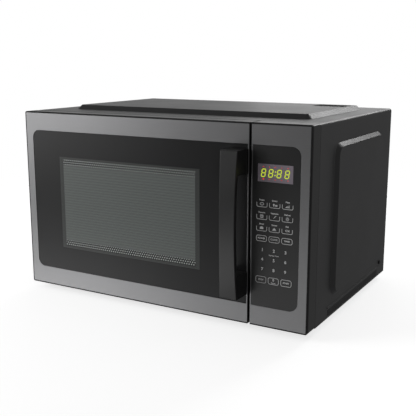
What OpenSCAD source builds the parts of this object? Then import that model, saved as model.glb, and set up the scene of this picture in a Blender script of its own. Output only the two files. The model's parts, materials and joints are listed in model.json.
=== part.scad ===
// Countertop microwave oven, built as separate pieces that come apart on a bench.
// Every module is drawn with x = 0 on the centre line, y = 0 on the door's outer face and z = 0 on the table.

/* [Overall] */
// Width across the front
body_w = 513; // [500:1:620]
// Height of the front, without the feet
body_h = 295; // [288:1:380]
// Depth from the door's face to the back of the cabinet
body_d = 364; // [352:1:480]
// Height of the feet
foot_h = 11; // [8:1:16]
// Width of the control panel
panel_w = 90.2; // [86:0.1:112]
// Gap between the door and the control panel
door_gap = 3.6; // [2:0.1:5]
// Depth of the door and the control panel, in front of the cabinet
front_depth = 30; // [28:0.5:36]
// Radius of the outer corners of the front
face_r = 3; // [1:0.5:6]

/* [Cabinet sheet] */
// Thickness of the cabinet's steel sheet
sheet_t = 0.8; // [0.6:0.1:1.2]
// Thickness of the steel front plate
plate_t = 1; // [0.8:0.1:1.5]
// Bend radius along the top edges of the cabinet
wrap_r = 4.5; // [2:0.5:8]
// Height of the raised panels pressed into the cabinet's sides
side_raise = 6; // [2:0.5:8]
// Height of the raised panel pressed into the cabinet's top
top_raise = 7; // [2:0.5:8]
// Radius of the raised panels' corners
raise_r = 20; // [10:1:30]
// Clearance between pieces of sheet that slide inside each other
sheet_fit = 0.1; // [0.05:0.05:0.3]

/* [Oven cavity] */
// Steel left of the cavity, seen from the front
cavity_left = 30; // [28:1:40]
// Width between the cavity and the door's right edge, where the latch stands
latch_room = 44.2; // [40.2:0.1:66.2]
// Space under the cavity floor
cavity_below = 34; // [32:1:50]
// Space above the cavity
cavity_above = 26; // [20:1:40]
// Space behind the cavity
cavity_behind = 18; // [12:1:30]

/* [Door] */
// Width of the silver border around the black glass
border_w = 15.5; // [10:0.5:20]
// Height of the silver border under the glass
border_bottom = 31; // [24:0.5:36]
// Height of the silver border over the glass
border_top = 30.6; // [20:0.2:36]
// Silver rim along the gap between the door and the panel
gap_rim = 2.2; // [1.5:0.1:4]
// Radius of the glass's outer corners
glass_r = 13; // [8:0.5:20]
// Thickness of the door glass
glass_t = 3; // [2.5:0.5:4]
// Depth of the glass's face behind the border's face
glass_sink = 0.4; // [0.2:0.1:1]
// Wall of the door frame and the panel bezel
wall = 2.2; // [1.8:0.1:3]
// Window: its left edge from the door's left edge
window_left = 71; // [60:1:80]
// Window: its right edge from the door's right edge
window_right = 81.2; // [75:0.2:95]
// Window: its lower edge above the bottom of the front
window_low = 70; // [60:1:80]
// Window: its upper edge below the top of the front
window_high = 72; // [60:1:80]
// Gap between the closed door and the front plate
door_seal = 1; // [0.6:0.1:2]
// Width of the choke channel round the door's steel plate
choke_w = 14; // [10:0.5:14]
// Depth of the choke channel
choke_d = 15; // [10:1:16]

/* [Hinge] */
// Hinge axis behind the rounded left rear corner of the door
hinge_r = 8; // [6:0.5:8]
// Radius of the hinge pins
pin_r = 2.5; // [2:0.1:3]
// Radial clearance of the pins in the door
pin_fit = 0.05; // [0.02:0.01:0.1]
// Thickness of the hinge brackets
bracket_t = 2; // [1.5:0.1:2.5]
// Height of the bracket tongues from the top and bottom of the door
tongue_inset = 14; // [12:1:20]

/* [Handle] */
// How far the middle of the handle stands out
handle_out = 38.5; // [32:0.5:44]
// How far the ends of the handle stand out
handle_end_out = 30; // [24:0.5:32]
// Width of the handle's ends
handle_w = 28; // [24:0.5:32]
// How much narrower the handle is in the middle
handle_waist = 3.7; // [1:0.1:5]
// Gap between the handle's right side and the rim beside the glass
handle_inset = 0.2; // [0.1:0.1:4]
// Lower end of the handle above the bottom of the front
handle_low = 43.5; // [40:0.5:60]
// Length of the handle
handle_len = 214.5; // [190:0.5:230]
// Length of the solid end of the handle
handle_end = 35.5; // [28:0.5:40]
// Thickness of the bar
bar_t = 7; // [5:0.5:10]

/* [Control panel] */
// Thickness of the printed overlay
overlay_t = 0.6; // [0.4:0.1:1]
// Thickness of the key membrane behind it
membrane_t = 1.2; // [1.1:0.1:1.6]
// Width of the display window
display_w = 53.5; // [44:0.5:56]
// Height of the display window
display_h = 25.2; // [20:0.2:28]
// Display window's left edge from the left edge of the panel
display_left = 10.2; // [8:0.1:14]
// Display window's top edge below the top of the front
display_drop = 56.4; // [50:0.2:64]
// Distance between the key columns
key_pitch = 19.6; // [17:0.1:20]
// Radius of a key's snap dome
dome_r = 5; // [4:0.1:5.5]

/* [Turntable] */
// Radius of the glass tray
tray_r = 144; // [110:1:148]
// Thickness of the glass
tray_t = 4; // [3:0.5:6]
// Height of the tray's rim
rim_h = 13; // [8:1:18]
// Radius of the three rollers
roller_r = 6.8; // [5:0.1:8]
// Distance of the rollers from the centre
roller_track = 95; // [70:1:100]
// Clearance above and below the rollers
roller_gap = 0.3; // [0.2:0.05:0.5]
// Radius of the turntable motor's shaft
shaft_r = 3.5; // [2.5:0.1:4]
// Radius of the turntable motor
motor_r = 24.5; // [20:0.5:28]

/* [Machine space] */
// Width of the magnetron
magnetron_w = 84; // [70:1:90]
// Height of the magnetron
magnetron_h = 68; // [60:1:76]
// Length of the magnetron's magnet frame
magnetron_l = 70; // [60:1:74]
// Width of the transformer's core
core_w = 96; // [80:1:100]
// Height of the transformer's core
core_h = 80; // [70:1:90]
// Radius of the fan blade
fan_r = 48; // [40:1:50]
// Radius of the cord hole in the gland
cord_r = 4; // [3:0.1:5]
// How far the gland stands out at the back
gland_out = 6; // [3:0.5:10]

/* [Hidden] */
$fn = 48;
eps = 0.01;
over = 1;

// Sides of the front
x_l = -body_w / 2;
x_r = body_w / 2;
z_b = foot_h;
z_t = foot_h + body_h;
door_r = x_r - panel_w - door_gap;
panel_l = x_r - panel_w;
door_back = front_depth - door_seal;
plate_back = front_depth + plate_t;

// The origin stands under the middle of the whole oven
shift_y = (handle_out - body_d - gland_out) / 2;

// Inside of the cavity
cav_l = x_l + cavity_left;
cav_r = door_r - latch_room;
cav_b = z_b + cavity_below;
cav_t = z_t - cavity_above;
cav_f = plate_back;
cav_k = body_d - cavity_behind;
cav_x = (cav_l + cav_r) / 2;
cav_y = (cav_f + cav_k) / 2;
cav_flange = 8;

// Inside of the machine space
mach_l = cav_r + sheet_t;
mach_r = x_r - sheet_t;
base_z = z_b + sheet_t;

// Raised panels of the cabinet: distances from the edges
raise_front = 87;
raise_back = 57;
raise_low = 30;
raise_high = 33;
top_edge_x = 38;
top_edge_front = 84;
top_edge_back = 45;

// Vents
slit_pitch = 5;
slit_w = 2;
slit_low = 3;
slit_h = 10;
rib_r = 1.6;
rib_z = z_b + 17;
vent_pitch = 5.4;

// Hinge
hinge_x = x_l + hinge_r;
hinge_y = door_back - hinge_r;
stile_r = hinge_x + hinge_r;
tongue_r = 6;
tongue_gap = 1;
block_h = 20;
pin_l = 16;
slot_clear = 0.3;
tongue_hi = z_t - tongue_inset;
tongue_lo = z_b + tongue_inset;
bracket_flange_t = 1.5;
bracket_flange_h = 30;

// Door plates
plate_l = cav_l + 2;
plate_r = cav_r - 2;
plate_b = cav_b + 2;
plate_h = cav_t - 2;
cover_t = 2;
plate_y = door_back - sheet_t;
choke_y = plate_y + sheet_t - choke_d;
glass_l = x_l + border_w;
glass_right = door_r - gap_rim;
glass_b = z_b + border_bottom;
glass_h = z_t - border_top;
glass_y = glass_sink + glass_t;
web_y = glass_y + wall;
win_l = x_l + window_left;
win_r = door_r - window_right;
win_b = z_b + window_low;
win_t = z_t - window_high;
win_ledge = 6;
mesh_t = 0.5;
film_t = 0.5;

// Handle
handle_r = glass_right - sheet_fit - handle_inset;
handle_l = handle_r - handle_w;
handle_b = z_b + handle_low;
handle_t = handle_b + handle_len;
handle_z = (handle_b + handle_t) / 2;
handle_sag = handle_out - handle_end_out;
handle_bow = (pow(handle_len / 2, 2) + pow(handle_sag, 2)) / (2 * handle_sag);
waist_chord = handle_len / 2 + 4;
waist_bow = (pow(waist_chord, 2) + pow(handle_waist, 2)) / (2 * handle_waist);
handle_screw_z = [handle_b + handle_end / 2, handle_t - handle_end / 2];
handle_x = (handle_l + handle_r) / 2;
screw_r = 1.9;
screw_fit = 0.1;
head_r = 3.8;
head_h = 2.2;

// Latch
latch_x = door_r - 18.7;
latch_z = z_b + body_h / 2;
latch_y = 16;
latch_t = 5;
latch_len = 160;
latch_lift = 4;
hook_in = 18;
hook_low = latch_z - 66;
hook_high = latch_z + 66;
hook_low_h = 20;
hook_high_h = 10;
hook_clear = 2.2;
spring_r = 3.2;
spring_len = 26;
spring_wire = 0.7;
spring_turns = 7;
plunger_r = 1.6;
plunger_gap = 0.25;
plunger_l = 5;
plunger_fit = 0.06;
switch_pitch = 10.4;
switch_y = plate_back + hook_in + plunger_gap + plunger_l;

// Control panel
over_l = panel_l + gap_rim;
over_r = x_r - border_w;
over_y = 0.2;
memb_y = over_y + overlay_t;
recess_y = memb_y + membrane_t;
dome_h = 0.7;
dome_pocket = 0.9;
disp_l = panel_l + display_left;
disp_r = disp_l + display_w;
disp_t = z_t - display_drop;
disp_b = disp_t - display_h;
disp_fit = 0.1;
disp_ledge = 1.5;
key_x = (disp_l + disp_r) / 2;
key_drops = [31, 48.8, 65.5, 81.4, 98, 111.9, 126.4, 142.2];
board_y = 14;
board_t = 1.6;
board_l = panel_l + 8;
board_r = x_r - 9;
board_b = z_b + 62;
board_h = z_t - 38;
post_in = 6;
post_r = 3.2;
relay = [16, 13, 20];

// Turntable
floor_z = cav_b;
tray_z = floor_z + 2 * (roller_r + roller_gap);
roller_z = floor_z + roller_gap + roller_r;
roller_w = 7;
axle_r = 2;
axle_fit = 0.06;
ring_in = 84;
ring_w = roller_track - roller_w / 2 - 0.7 - ring_in - 3;
hub_r = 13;
lobe_r = 30;
lobe_w = 9;
shaft_hole = shaft_r + 3;
motor_h = 17;
shaft_top = floor_z + 10;

// Machine parts
guide_x = 20;
mag_y = cav_y + 20;
mag_z = cav_b + 157;
guide_len = 106;
guide_h = 74;
mag_x = mach_l + guide_x + 1;
anode_r = 19;
magnet_r = 27;
magnet_t = 11;
core_x = mach_l + 30 + core_w / 2;
core_y = 118;
core_d = 50;
limb = 32;
core_window = 16;
yoke_bar = (core_h - 48) / 2;
coil_out = 19;
coil_fit = 0.3;
fan_x = (mach_l + mach_r) / 2;
fan_z = cav_b + 140;
fan_y = body_d - 30;
fan_gap = 3;
rotor_r = 12.7;
rotor_gap = 0.5;
fan_shaft_r = 2;
cap_len = 96;
cap_d = 32;
cap_h = 50;
cap_y = body_d - 66;
gland_x = mach_r - 28;
gland_z = z_b + 34;
gland_r = 8;
lamp_y = mag_y + 76;
lamp_z = cav_t - 22;
wire_r = 1.6;

// Helpers: shapes drawn flat and given a thickness along one axis
module placed() {
  translate([0, shift_y, 0]) children();
}

module along_x(x0, x1) {
  translate([x0, 0, 0]) rotate([90, 0, 90]) linear_extrude(x1 - x0) children();
}

module along_y(y0, y1) {
  translate([0, y1, 0]) rotate([90, 0, 0]) linear_extrude(y1 - y0) children();
}

module along_z(z0, z1) {
  translate([0, 0, z0]) linear_extrude(z1 - z0) children();
}

module box(low, high) {
  translate(low) cube(high - low);
}

module rect(x0, y0, x1, y1) {
  translate([x0, y0]) square([x1 - x0, y1 - y0]);
}

// A rectangle with a radius of its own, or none, at its left-low, right-low, right-high and left-high corners
module rect_4(x0, y0, x1, y1, radii) {
  m = max(radii);
  rect(x0 + m, y0, x1 - m, y1);
  rect(x0, y0 + m, x1, y1 - m);
  for (c = [[x0, y0, 0, 0, 0], [x1, y0, 1, 0, 1], [x1, y1, 1, 1, 2], [x0, y1, 0, 1, 3]]) {
    translate([c[0] - c[2] * m, c[1] - c[3] * m]) {
      if (radii[c[4]] == 0) square(m);
      else translate([m - 2 * c[2] * m + c[2] * m, m - 2 * c[3] * m + c[3] * m]) circle(m);
    }
  }
}

module rod_x(x0, x1, y, z, r) {
  translate([x0, y, z]) rotate([0, 90, 0]) cylinder(h = x1 - x0, r = r);
}

module rod_y(y0, y1, x, z, r) {
  translate([x, y1, z]) rotate([90, 0, 0]) cylinder(h = y1 - y0, r = r);
}

module rod_z(z0, z1, x, y, r) {
  translate([x, y, z0]) cylinder(h = z1 - z0, r = r);
}

// A pan-head screw along -Z, with its head's seat at z = 0
module screw(length, r = screw_r) {
  difference() {
    union() {
      cylinder(h = head_h, r = head_r * r / screw_r);
      translate([0, 0, -length]) cylinder(h = length + eps, r = r);
    }
    for (a = [0, 90]) rotate(a) translate([-1.8, -0.4, head_h - 1]) cube([3.6, 0.8, 2]);
  }
}

// A wire through a list of points: a ring of eight at each point, square to the run through it
function unit(v) = v / norm(v);

function wire_ring(points, i, r) =
  let (
    d = unit(points[min(i + 1, len(points) - 1)] - points[max(i - 1, 0)]),
    u = unit(cross(d, [0.42, 0.57, 0.7])),
    v = cross(d, u)
  ) [for (k = [0:7]) points[i] + r * (cos(k * 45) * u + sin(k * 45) * v)];

// Sides and ends of a tube made of rings of eight
function tube_faces(n) = concat(
  [for (i = [0:n - 2]) for (k = [0:7]) each [
    [i * 8 + k, (i + 1) * 8 + k, (i + 1) * 8 + (k + 1) % 8],
    [i * 8 + k, (i + 1) * 8 + (k + 1) % 8, i * 8 + (k + 1) % 8]
  ]],
  [[for (k = [7:-1:0]) (n - 1) * 8 + k], [for (k = [0:7]) k]]
);

module wire(points, r = wire_r) {
  rings = [for (i = [0:len(points) - 1]) each wire_ring(points, i, r)];
  polyhedron(rings, tube_faces(len(points)));
}

// Cabinet
// A raised panel on a side wall: a flat-topped form with 45 degree sides, k behind the sheet's outer face
module side_form(k) {
  inset = k * (sqrt(2) - 1);
  y0 = raise_front + inset;
  y1 = body_d - raise_back - inset;
  z0 = z_b + raise_low + inset;
  z1 = z_t - raise_high - inset;
  s = side_raise;
  hull() {
    along_x(x_r - k - eps, x_r - k) rounded(y0, z0, y1, z1, raise_r);
    along_x(x_r + s - k - eps, x_r + s - k) rounded(y0 + s, z0 + s, y1 - s, z1 - s, raise_r - s);
  }
}

module top_form(k) {
  inset = k * (sqrt(2) - 1);
  x0 = x_l + top_edge_x + inset;
  y0 = top_edge_front + inset;
  y1 = body_d - top_edge_back - inset;
  s = top_raise;
  hull() {
    along_z(z_t - k - eps, z_t - k) rounded(x0, y0, -x0, y1, raise_r / 2);
    along_z(z_t + s - k - eps, z_t + s - k) rounded(x0 + s, y0 + s, -x0 - s, y1 - s, raise_r / 2 - s + 1);
  }
}

// A rounded rectangle as the outline of a hull
module rounded(x0, y0, x1, y1, r) {
  for (x = [x0 + r, x1 - r]) for (y = [y0 + r, y1 - r]) translate([x, y]) circle(r, $fn = 32);
}

module side_slits() {
  count = floor((body_d - raise_front - raise_back + 24) / slit_pitch);
  for (i = [0:count]) {
    y = raise_front - 8 + i * slit_pitch;
    translate([-x_r - over, y, z_b + slit_low]) cube([body_w + 2 * over, slit_w, slit_h]);
  }
}

module top_slots() {
  x1 = x_r - top_edge_x - top_raise - 9;
  y1 = body_d - top_edge_back - top_raise - 12;
  for (i = [0:9]) {
    translate([x1 - i * vent_pitch, y1 - 38, z_t - over - sheet_t]) cube([2.4, 38, top_raise + 3 * over]);
  }
}

module wrap_section(y0, y1) {
  along_y(y0, y1) difference() {
    rect_4(x_l, z_b, x_r, z_t, [0, 0, wrap_r, wrap_r]);
    r = wrap_r - sheet_t;
    rect_4(x_l + sheet_t, z_b - over, x_r - sheet_t, z_t - sheet_t, [0, 0, r, r]);
  }
}

module cabinet_wrap() {
  flange = 12;
  color([0.2, 0.2, 0.21]) placed() difference() {
    union() {
      wrap_section(front_depth + sheet_fit, body_d);
      along_y(body_d - sheet_t, body_d) difference() {
        rect_4(x_l, z_b, x_r, z_t, [0, 0, wrap_r, wrap_r]);
        rect(x_l + flange, z_b - over, x_r - flange, z_t - flange);
      }
      for (m = [0, 1]) mirror([m, 0, 0]) {
        side_form(0);
        rod_y(raise_front - 10, body_d - 33, x_r - rib_r / 3, rib_z, rib_r);
      }
      top_form(0);
    }
    for (m = [0, 1]) mirror([m, 0, 0]) side_form(sheet_t);
    top_form(sheet_t);
    side_slits();
    top_slots();
    for (p = back_screws()) rod_y(body_d - over - sheet_t, body_d + over, p[0], p[1], screw_r + screw_fit);
    rod_x(x_l - over, x_r + over, body_d - 30, z_b + 24, screw_r + screw_fit);
    along_y(front_depth, body_d - sheet_t) rect(x_l + sheet_t, z_b - over, x_r - sheet_t, z_t - wrap_r);
  }
}

// Screws that hold the back panel, as x and z
function back_screws() = [
  [x_l + 6, z_b + 60], [x_l + 6, z_t - 50], [x_r - 6, z_b + 60], [x_r - 6, z_t - 50],
  [x_l + 90, z_t - 6], [0, z_t - 6], [x_r - 90, z_t - 6]
];

module base_plate() {
  x0 = x_l + sheet_t + sheet_fit;
  y1 = body_d - sheet_t - sheet_fit;
  tab_h = 31;
  color([0.62, 0.63, 0.64]) placed() difference() {
    union() {
      box([x0, plate_back, z_b], [-x0, y1, z_b + sheet_t]);
      for (m = [0, 1]) mirror([m, 0, 0]) {
        box([x0, body_d - 42, z_b], [x0 + sheet_t, body_d - 18, z_b + tab_h]);
      }
      box([x0 + 12, y1 - sheet_t - sheet_t, z_b], [-x0 - 12, y1 - sheet_t, z_b + 12]);
    }
    for (m = [0, 1]) mirror([m, 0, 0]) rod_x(x0 - over, x0 + 3, body_d - 30, z_b + 24, screw_r + screw_fit);
    rod_z(z_b - over, z_b + over, cav_x, cav_y, motor_r + 1);
    for (i = [0:7]) {
      translate([fan_x - 24 + i * vent_pitch, body_d - 150, z_b - over]) cube([2.6, 46, 3]);
    }
    for (p = foot_spots()) rod_z(z_b - over, z_b + over + sheet_t, p[0], p[1], 3);
  }
}

function foot_spots() = [for (x = [x_l + 46, x_r - 46]) for (y = [72, body_d - 52]) [x, y]];

module feet() {
  color([0.08, 0.08, 0.08]) placed() for (p = foot_spots()) translate([p[0], p[1], 0]) {
    cylinder(h = 2, r = 11);
    translate([0, 0, 2]) rotate_extrude() polygon([[0, 0], [11, 0], [13, z_b - 2], [0, z_b - 2]]);
    translate([0, 0, z_b - eps]) cylinder(h = 4, r = 2.9);
    translate([0, 0, z_b + sheet_t + 0.2]) cylinder(h = 2, r = 4.2);
  }
}

module back_panel() {
  y1 = body_d - sheet_t;
  y0 = y1 - sheet_t;
  x0 = x_l + sheet_t + sheet_fit;
  z0 = z_b + sheet_t + sheet_fit;
  z1 = z_t - sheet_t - sheet_fit;
  color([0.5, 0.51, 0.52]) placed() difference() {
    along_y(y0, y1) rect_4(x0, z0, -x0, z1, [0, 0, wrap_r, wrap_r]);
    for (i = [-7:7]) {
      translate([fan_x - 32, y0 - over, fan_z + i * vent_pitch - 1.3]) cube([64, 4, 2.6]);
    }
    for (i = [0:6]) {
      translate([cav_l + 20, y0 - over, z_t - 66 + i * vent_pitch]) cube([70, 4, 2.6]);
    }
    for (p = back_screws()) rod_y(y0 - over, y1 + over, p[0], p[1], screw_r + screw_fit);
    rod_y(y0 - over, y1 + over, gland_x, gland_z, gland_r);
  }
}

module cabinet_screws() {
  color([0.35, 0.35, 0.36]) placed() {
    for (p = back_screws()) translate([p[0], body_d, p[1]]) rotate([-90, 0, 0]) screw(7);
    for (m = [0, 1]) mirror([m, 0, 0]) translate([x_r, body_d - 30, z_b + 24]) rotate([0, 90, 0]) screw(7);
  }
}

// A rubber bush in the back panel, with a groove that the panel's edge sits in
module cord_gland() {
  y1 = body_d - sheet_t;
  color([0.05, 0.05, 0.05]) placed() difference() {
    union() {
      rod_y(y1 - sheet_t - 3, y1 - sheet_t - 0.05, gland_x, gland_z, gland_r + 2.5);
      rod_y(y1 - sheet_t - 0.1, y1 + 0.1, gland_x, gland_z, gland_r - 0.05);
      rod_y(y1 + 0.05, body_d + gland_out, gland_x, gland_z, gland_r + 2.5);
    }
    rod_y(y1 - 6, body_d + gland_out + over, gland_x, gland_z, cord_r);
  }
}

// Steel frame that the door closes against, with a turned-back edge inside the cabinet's sheet
module front_plate() {
  x0 = x_l + sheet_t + sheet_fit;
  z1 = z_t - sheet_t - sheet_fit;
  color([0.6, 0.61, 0.62]) placed() difference() {
    union() {
      along_y(front_depth, plate_back) rect_4(x0, z_b, -x0, z1, [0, 0, wrap_r, wrap_r]);
      for (m = [0, 1]) mirror([m, 0, 0]) {
        box([x0, front_depth, z_b + 3], [x0 + plate_t, front_depth + 12, z1 - 8]);
      }
      box([x0 + 8, front_depth, z1 - plate_t], [-x0 - 8, front_depth + 12, z1]);
    }
    along_y(front_depth - over, plate_back + over) rect_4(cav_l, cav_b, cav_r, cav_t, [4, 4, 4, 4]);
    for (z = [tongue_hi, tongue_lo]) {
      zc = z == tongue_hi ? z + bracket_t / 2 : z - bracket_t / 2;
      box([hinge_x - tongue_r - slot_clear, front_depth - over, zc - bracket_t / 2 - slot_clear],
        [hinge_x + tongue_r + slot_clear, plate_back + over, zc + bracket_t / 2 + slot_clear]);
    }
    hook_slot(hook_low, hook_low_h, front_depth - over, plate_back + over);
    hook_slot(hook_high, hook_high_h, front_depth - over, plate_back + over);
    box([key_x - 22, front_depth - over, board_b + 20], [key_x + 22, plate_back + over, board_b + 130]);
  }
}

// Opening that a hook passes as the door swings and the lever lifts
module hook_slot(z, h, y0, y1) {
  box([latch_x - latch_t / 2 - hook_clear, y0, z - h / 2 - hook_clear],
    [latch_x + latch_t / 2 + hook_clear, y1, z + h / 2 + latch_lift + hook_clear]);
}

module oven_cavity() {
  t = sheet_t;
  f = cav_flange;
  color([0.72, 0.73, 0.74]) placed() difference() {
    union() {
      box([cav_l - t, cav_f, cav_b - t], [cav_r + t, cav_k + t, cav_t + t]);
      box([cav_l - f, cav_f, cav_b - f], [cav_r + f, cav_f + t, cav_t + f]);
    }
    box([cav_l, cav_f - over, cav_b], [cav_r, cav_k, cav_t]);
    rod_z(cav_b - 3, cav_b + over, cav_x, cav_y, shaft_hole);
    box([cav_r - over, mag_y - 40, mag_z - 20], [cav_r + 3, mag_y + 40, mag_z + 20]);
    for (i = [-2:2]) for (j = [-2:2]) {
      rod_x(cav_r - over, cav_r + 3, lamp_y + i * 5, lamp_z + j * 5, 1.6);
    }
    for (i = [0:5]) for (j = [0:4]) {
      rod_x(cav_l - 3, cav_l + over, cav_k - 30 - i * 6, cav_t - 24 - j * 6, 1.8);
    }
    for (i = [0:4]) for (j = [0:4]) {
      rod_x(cav_r - over, cav_r + 3, cav_f + 22 + i * 6, cav_t - 24 - j * 6, 1.8);
    }
  }
}

// Hinge: a tongue with a pin, on a flange behind the front plate
module hinge_bracket(z, up) {
  y1 = plate_back + bracket_flange_t;
  mirror_z = up ? 1 : 0;
  color([0.66, 0.66, 0.67]) placed() translate([0, 0, z]) mirror([0, 0, mirror_z]) {
    along_z(0, bracket_t) {
      translate([hinge_x, hinge_y]) circle(tongue_r);
      rect(hinge_x - tongue_r, hinge_y, hinge_x + tongue_r, y1);
    }
    box([hinge_x - tongue_r, plate_back, -bracket_flange_h], [hinge_x + tongue_r, y1, bracket_t]);
    rod_z(-pin_l, eps, hinge_x, hinge_y, pin_r);
    for (zs = [-10, -24]) rod_y(y1 - eps, y1 + 1.6, hinge_x, zs, 3);
  }
}

module upper_hinge() {
  hinge_bracket(tongue_hi, false);
}

module lower_hinge() {
  hinge_bracket(tongue_lo, true);
}

// Door
module hinge_corner(r) {
  // What lies outside a quarter round of radius r at the left rear edge
  difference() {
    box([x_l - over, hinge_y, z_b - over], [hinge_x, door_back + over, z_t + over]);
    rod_z(z_b - 2 * over, z_t + 2 * over, hinge_x, hinge_y, r);
  }
}

module hinge_slot(z0, z1) {
  box([x_l - over, hinge_y - hinge_r, z0], [hinge_x + tongue_r + 1, door_back + over, z1]);
}

module hinge_block(z0, z1) {
  difference() {
    union() {
      box([x_l + wall - eps, web_y - eps, z0], [hinge_x + hinge_r - 1, hinge_y, z1]);
      box([hinge_x, web_y, z0], [hinge_x + hinge_r - 1, door_back - wall + eps, z1]);
      rod_z(z0, z1, hinge_x, hinge_y, hinge_r - wall + eps);
    }
    rod_z(z0 - over, z1 + over, hinge_x, hinge_y, pin_r + pin_fit);
  }
}

module lever_guide(z) {
  half = latch_t / 2 + 0.4;
  difference() {
    box([latch_x - 8, web_y - eps, z - 2], [latch_x + 8, latch_y + 9, z + 2]);
    box([latch_x - half, latch_y - 0.4, z - 3], [latch_x + half, latch_y + 10, z + 3]);
  }
}

module door_frame() {
  rear = door_back - cover_t;
  g = win_ledge;
  color([0.5, 0.5, 0.51]) placed() {
    difference() {
      union() {
        along_y(0, rear) rect_4(x_l, z_b, door_r, z_t, [face_r, 0, 0, face_r]);
        box([x_l, rear - eps, z_b + face_r], [stile_r, door_back, z_t - face_r]);
      }
      hinge_corner(hinge_r);
      along_y(-over, glass_y) rect_4(glass_l, glass_b, glass_right, glass_h, [glass_r, 0, 0, glass_r]);
      along_y(glass_y - over, web_y + over) rect(win_l - g, win_b - g, win_r + g, win_t + g);
      difference() {
        union() {
          box([x_l + wall, web_y, z_b + wall], [stile_r, door_back - wall, z_t - wall]);
          box([stile_r - eps, web_y, z_b + wall], [door_r - wall, door_back + over, z_t - wall]);
        }
        hinge_corner(hinge_r - wall);
      }
      hinge_slot(tongue_hi - tongue_gap, tongue_hi + bracket_t + tongue_gap);
      hinge_slot(tongue_lo - bracket_t - tongue_gap, tongue_lo + tongue_gap);
      for (z = handle_screw_z) rod_y(-over, web_y + over, handle_x, z, screw_r + screw_fit);
    }
    hinge_block(tongue_hi - tongue_gap - block_h, tongue_hi - tongue_gap);
    hinge_block(tongue_lo + tongue_gap, tongue_lo + tongue_gap + block_h);
    lever_guide(latch_z - 50);
    lever_guide(latch_z + 50);
    box([latch_x - 6, web_y - eps, latch_z - latch_len / 2 - spring_len - 3], [latch_x + 6, latch_y + 6,
      latch_z - latch_len / 2 - spring_len - 0.3]);
  }
}

module door_glass() {
  g = sheet_fit;
  color([0.1, 0.1, 0.11, 0.9]) placed() difference() {
    along_y(glass_sink, glass_y) rect_4(glass_l + g, glass_b + g, glass_right - g, glass_h - g,
      [glass_r - g, 0, 0, glass_r - g]);
    for (z = handle_screw_z) rod_y(-over, glass_y + over, handle_x, z, screw_r + screw_fit);
  }
}

// Steel plate of the door, with a channel round it that stops the microwaves
module door_plate() {
  t = sheet_t;
  w = choke_w;
  color([0.6, 0.6, 0.61]) placed() {
    along_y(plate_y, plate_y + t) difference() {
      rect(plate_l, plate_b, plate_r, plate_h);
      rect(win_l, win_b, win_r, win_t);
    }
    along_y(choke_y, plate_y + eps) difference() {
      rect(plate_l, plate_b, plate_r, plate_h);
      rect(plate_l + t, plate_b + t, plate_r - t, plate_h - t);
    }
    along_y(choke_y, choke_y + t) difference() {
      rect(plate_l - w, plate_b - w, plate_r + w, plate_h + w);
      rect(plate_l + eps, plate_b + eps, plate_r - eps, plate_h - eps);
    }
    along_y(choke_y, door_back - cover_t - 0.1) difference() {
      rect(plate_l - w, plate_b - w, plate_r + w, plate_h + w);
      rect(plate_l - w + t, plate_b - w + t, plate_r + w - t, plate_h + w - t);
    }
  }
}

module screen_mesh() {
  g = 5;
  color([0.35, 0.35, 0.35]) placed()
    along_y(plate_y - mesh_t, plate_y) rect(win_l - g, win_b - g, win_r + g, win_t + g);
}

// Plastic ring that closes the choke channel at the back of the door
module choke_cover() {
  g = 0.2;
  color([0.12, 0.12, 0.12]) placed() difference() {
    along_y(door_back - cover_t, door_back) difference() {
      rect(stile_r + g, z_b, door_r, z_t);
      rect(plate_l - g, plate_b - g, plate_r + g, plate_h + g);
    }
    hook_slot(hook_low, hook_low_h, door_back - cover_t - over, door_back + over);
    hook_slot(hook_high, hook_high_h, door_back - cover_t - over, door_back + over);
  }
}

module inner_window() {
  g = 4;
  color([0.7, 0.72, 0.72, 0.5]) placed()
    along_y(door_back, door_back + film_t) rect(win_l - g, win_b - g, win_r + g, win_t + g);
}

// Bowed pull handle: solid ends, a bar with a finger gap behind it
module handle() {
  gap_b = handle_b + handle_end;
  gap_t = handle_t - handle_end;
  bow_y = handle_bow - handle_out;
  color([0.16, 0.16, 0.17]) placed() difference() {
    along_x(handle_l, handle_r) difference() {
      intersection() {
        rect_4(-handle_out - over, handle_b, glass_sink, handle_t, [12, 0, 0, 12]);
        translate([bow_y, handle_z]) circle(handle_bow, $fn = 240);
      }
      intersection() {
        translate([bow_y, handle_z]) circle(handle_bow - bar_t, $fn = 240);
        rect(-handle_out, gap_b, glass_sink + over, gap_t);
      }
    }
    along_y(-handle_out - over, over)
      translate([handle_l + handle_waist - waist_bow, handle_z]) circle(waist_bow, $fn = 240);
    for (z = handle_screw_z) rod_y(-16, over, handle_x, z, screw_r + screw_fit);
  }
}

module handle_screws() {
  color([0.5, 0.5, 0.5]) placed() for (z = handle_screw_z) {
    translate([handle_x, web_y, z]) rotate([-90, 0, 0]) screw(web_y + 14);
  }
}

// Sliding lever in the door, with two hooks that reach through the front plate
module hook(z, h) {
  y1 = plate_back + hook_in;
  along_x(latch_x - latch_t / 2, latch_x + latch_t / 2) polygon([
    [latch_y + 7, z + h / 2], [latch_y + 7, z - h / 2 + 3], [y1 - 9, z - h / 2 + 3], [y1 - 9, z - h / 2],
    [y1 - 4, z - h / 2], [y1, z - h / 2 + 3], [y1, z + h / 2]
  ]);
}

module latch_lever() {
  color([0.85, 0.85, 0.82]) placed() {
    box([latch_x - latch_t / 2, latch_y, latch_z - latch_len / 2], [latch_x + latch_t / 2, latch_y + 8,
      latch_z + latch_len / 2]);
    hook(hook_low, hook_low_h);
    hook(hook_high, hook_high_h);
  }
}

// Points of a coil of wire along Z, as rings of eight
function coil_ring(a, r, w, rise) = [for (k = [0:7]) [
  (r + w * cos(k * 45)) * cos(a),
  (r + w * cos(k * 45)) * sin(a),
  rise * a / 360 + w * sin(k * 45)
]];

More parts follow.
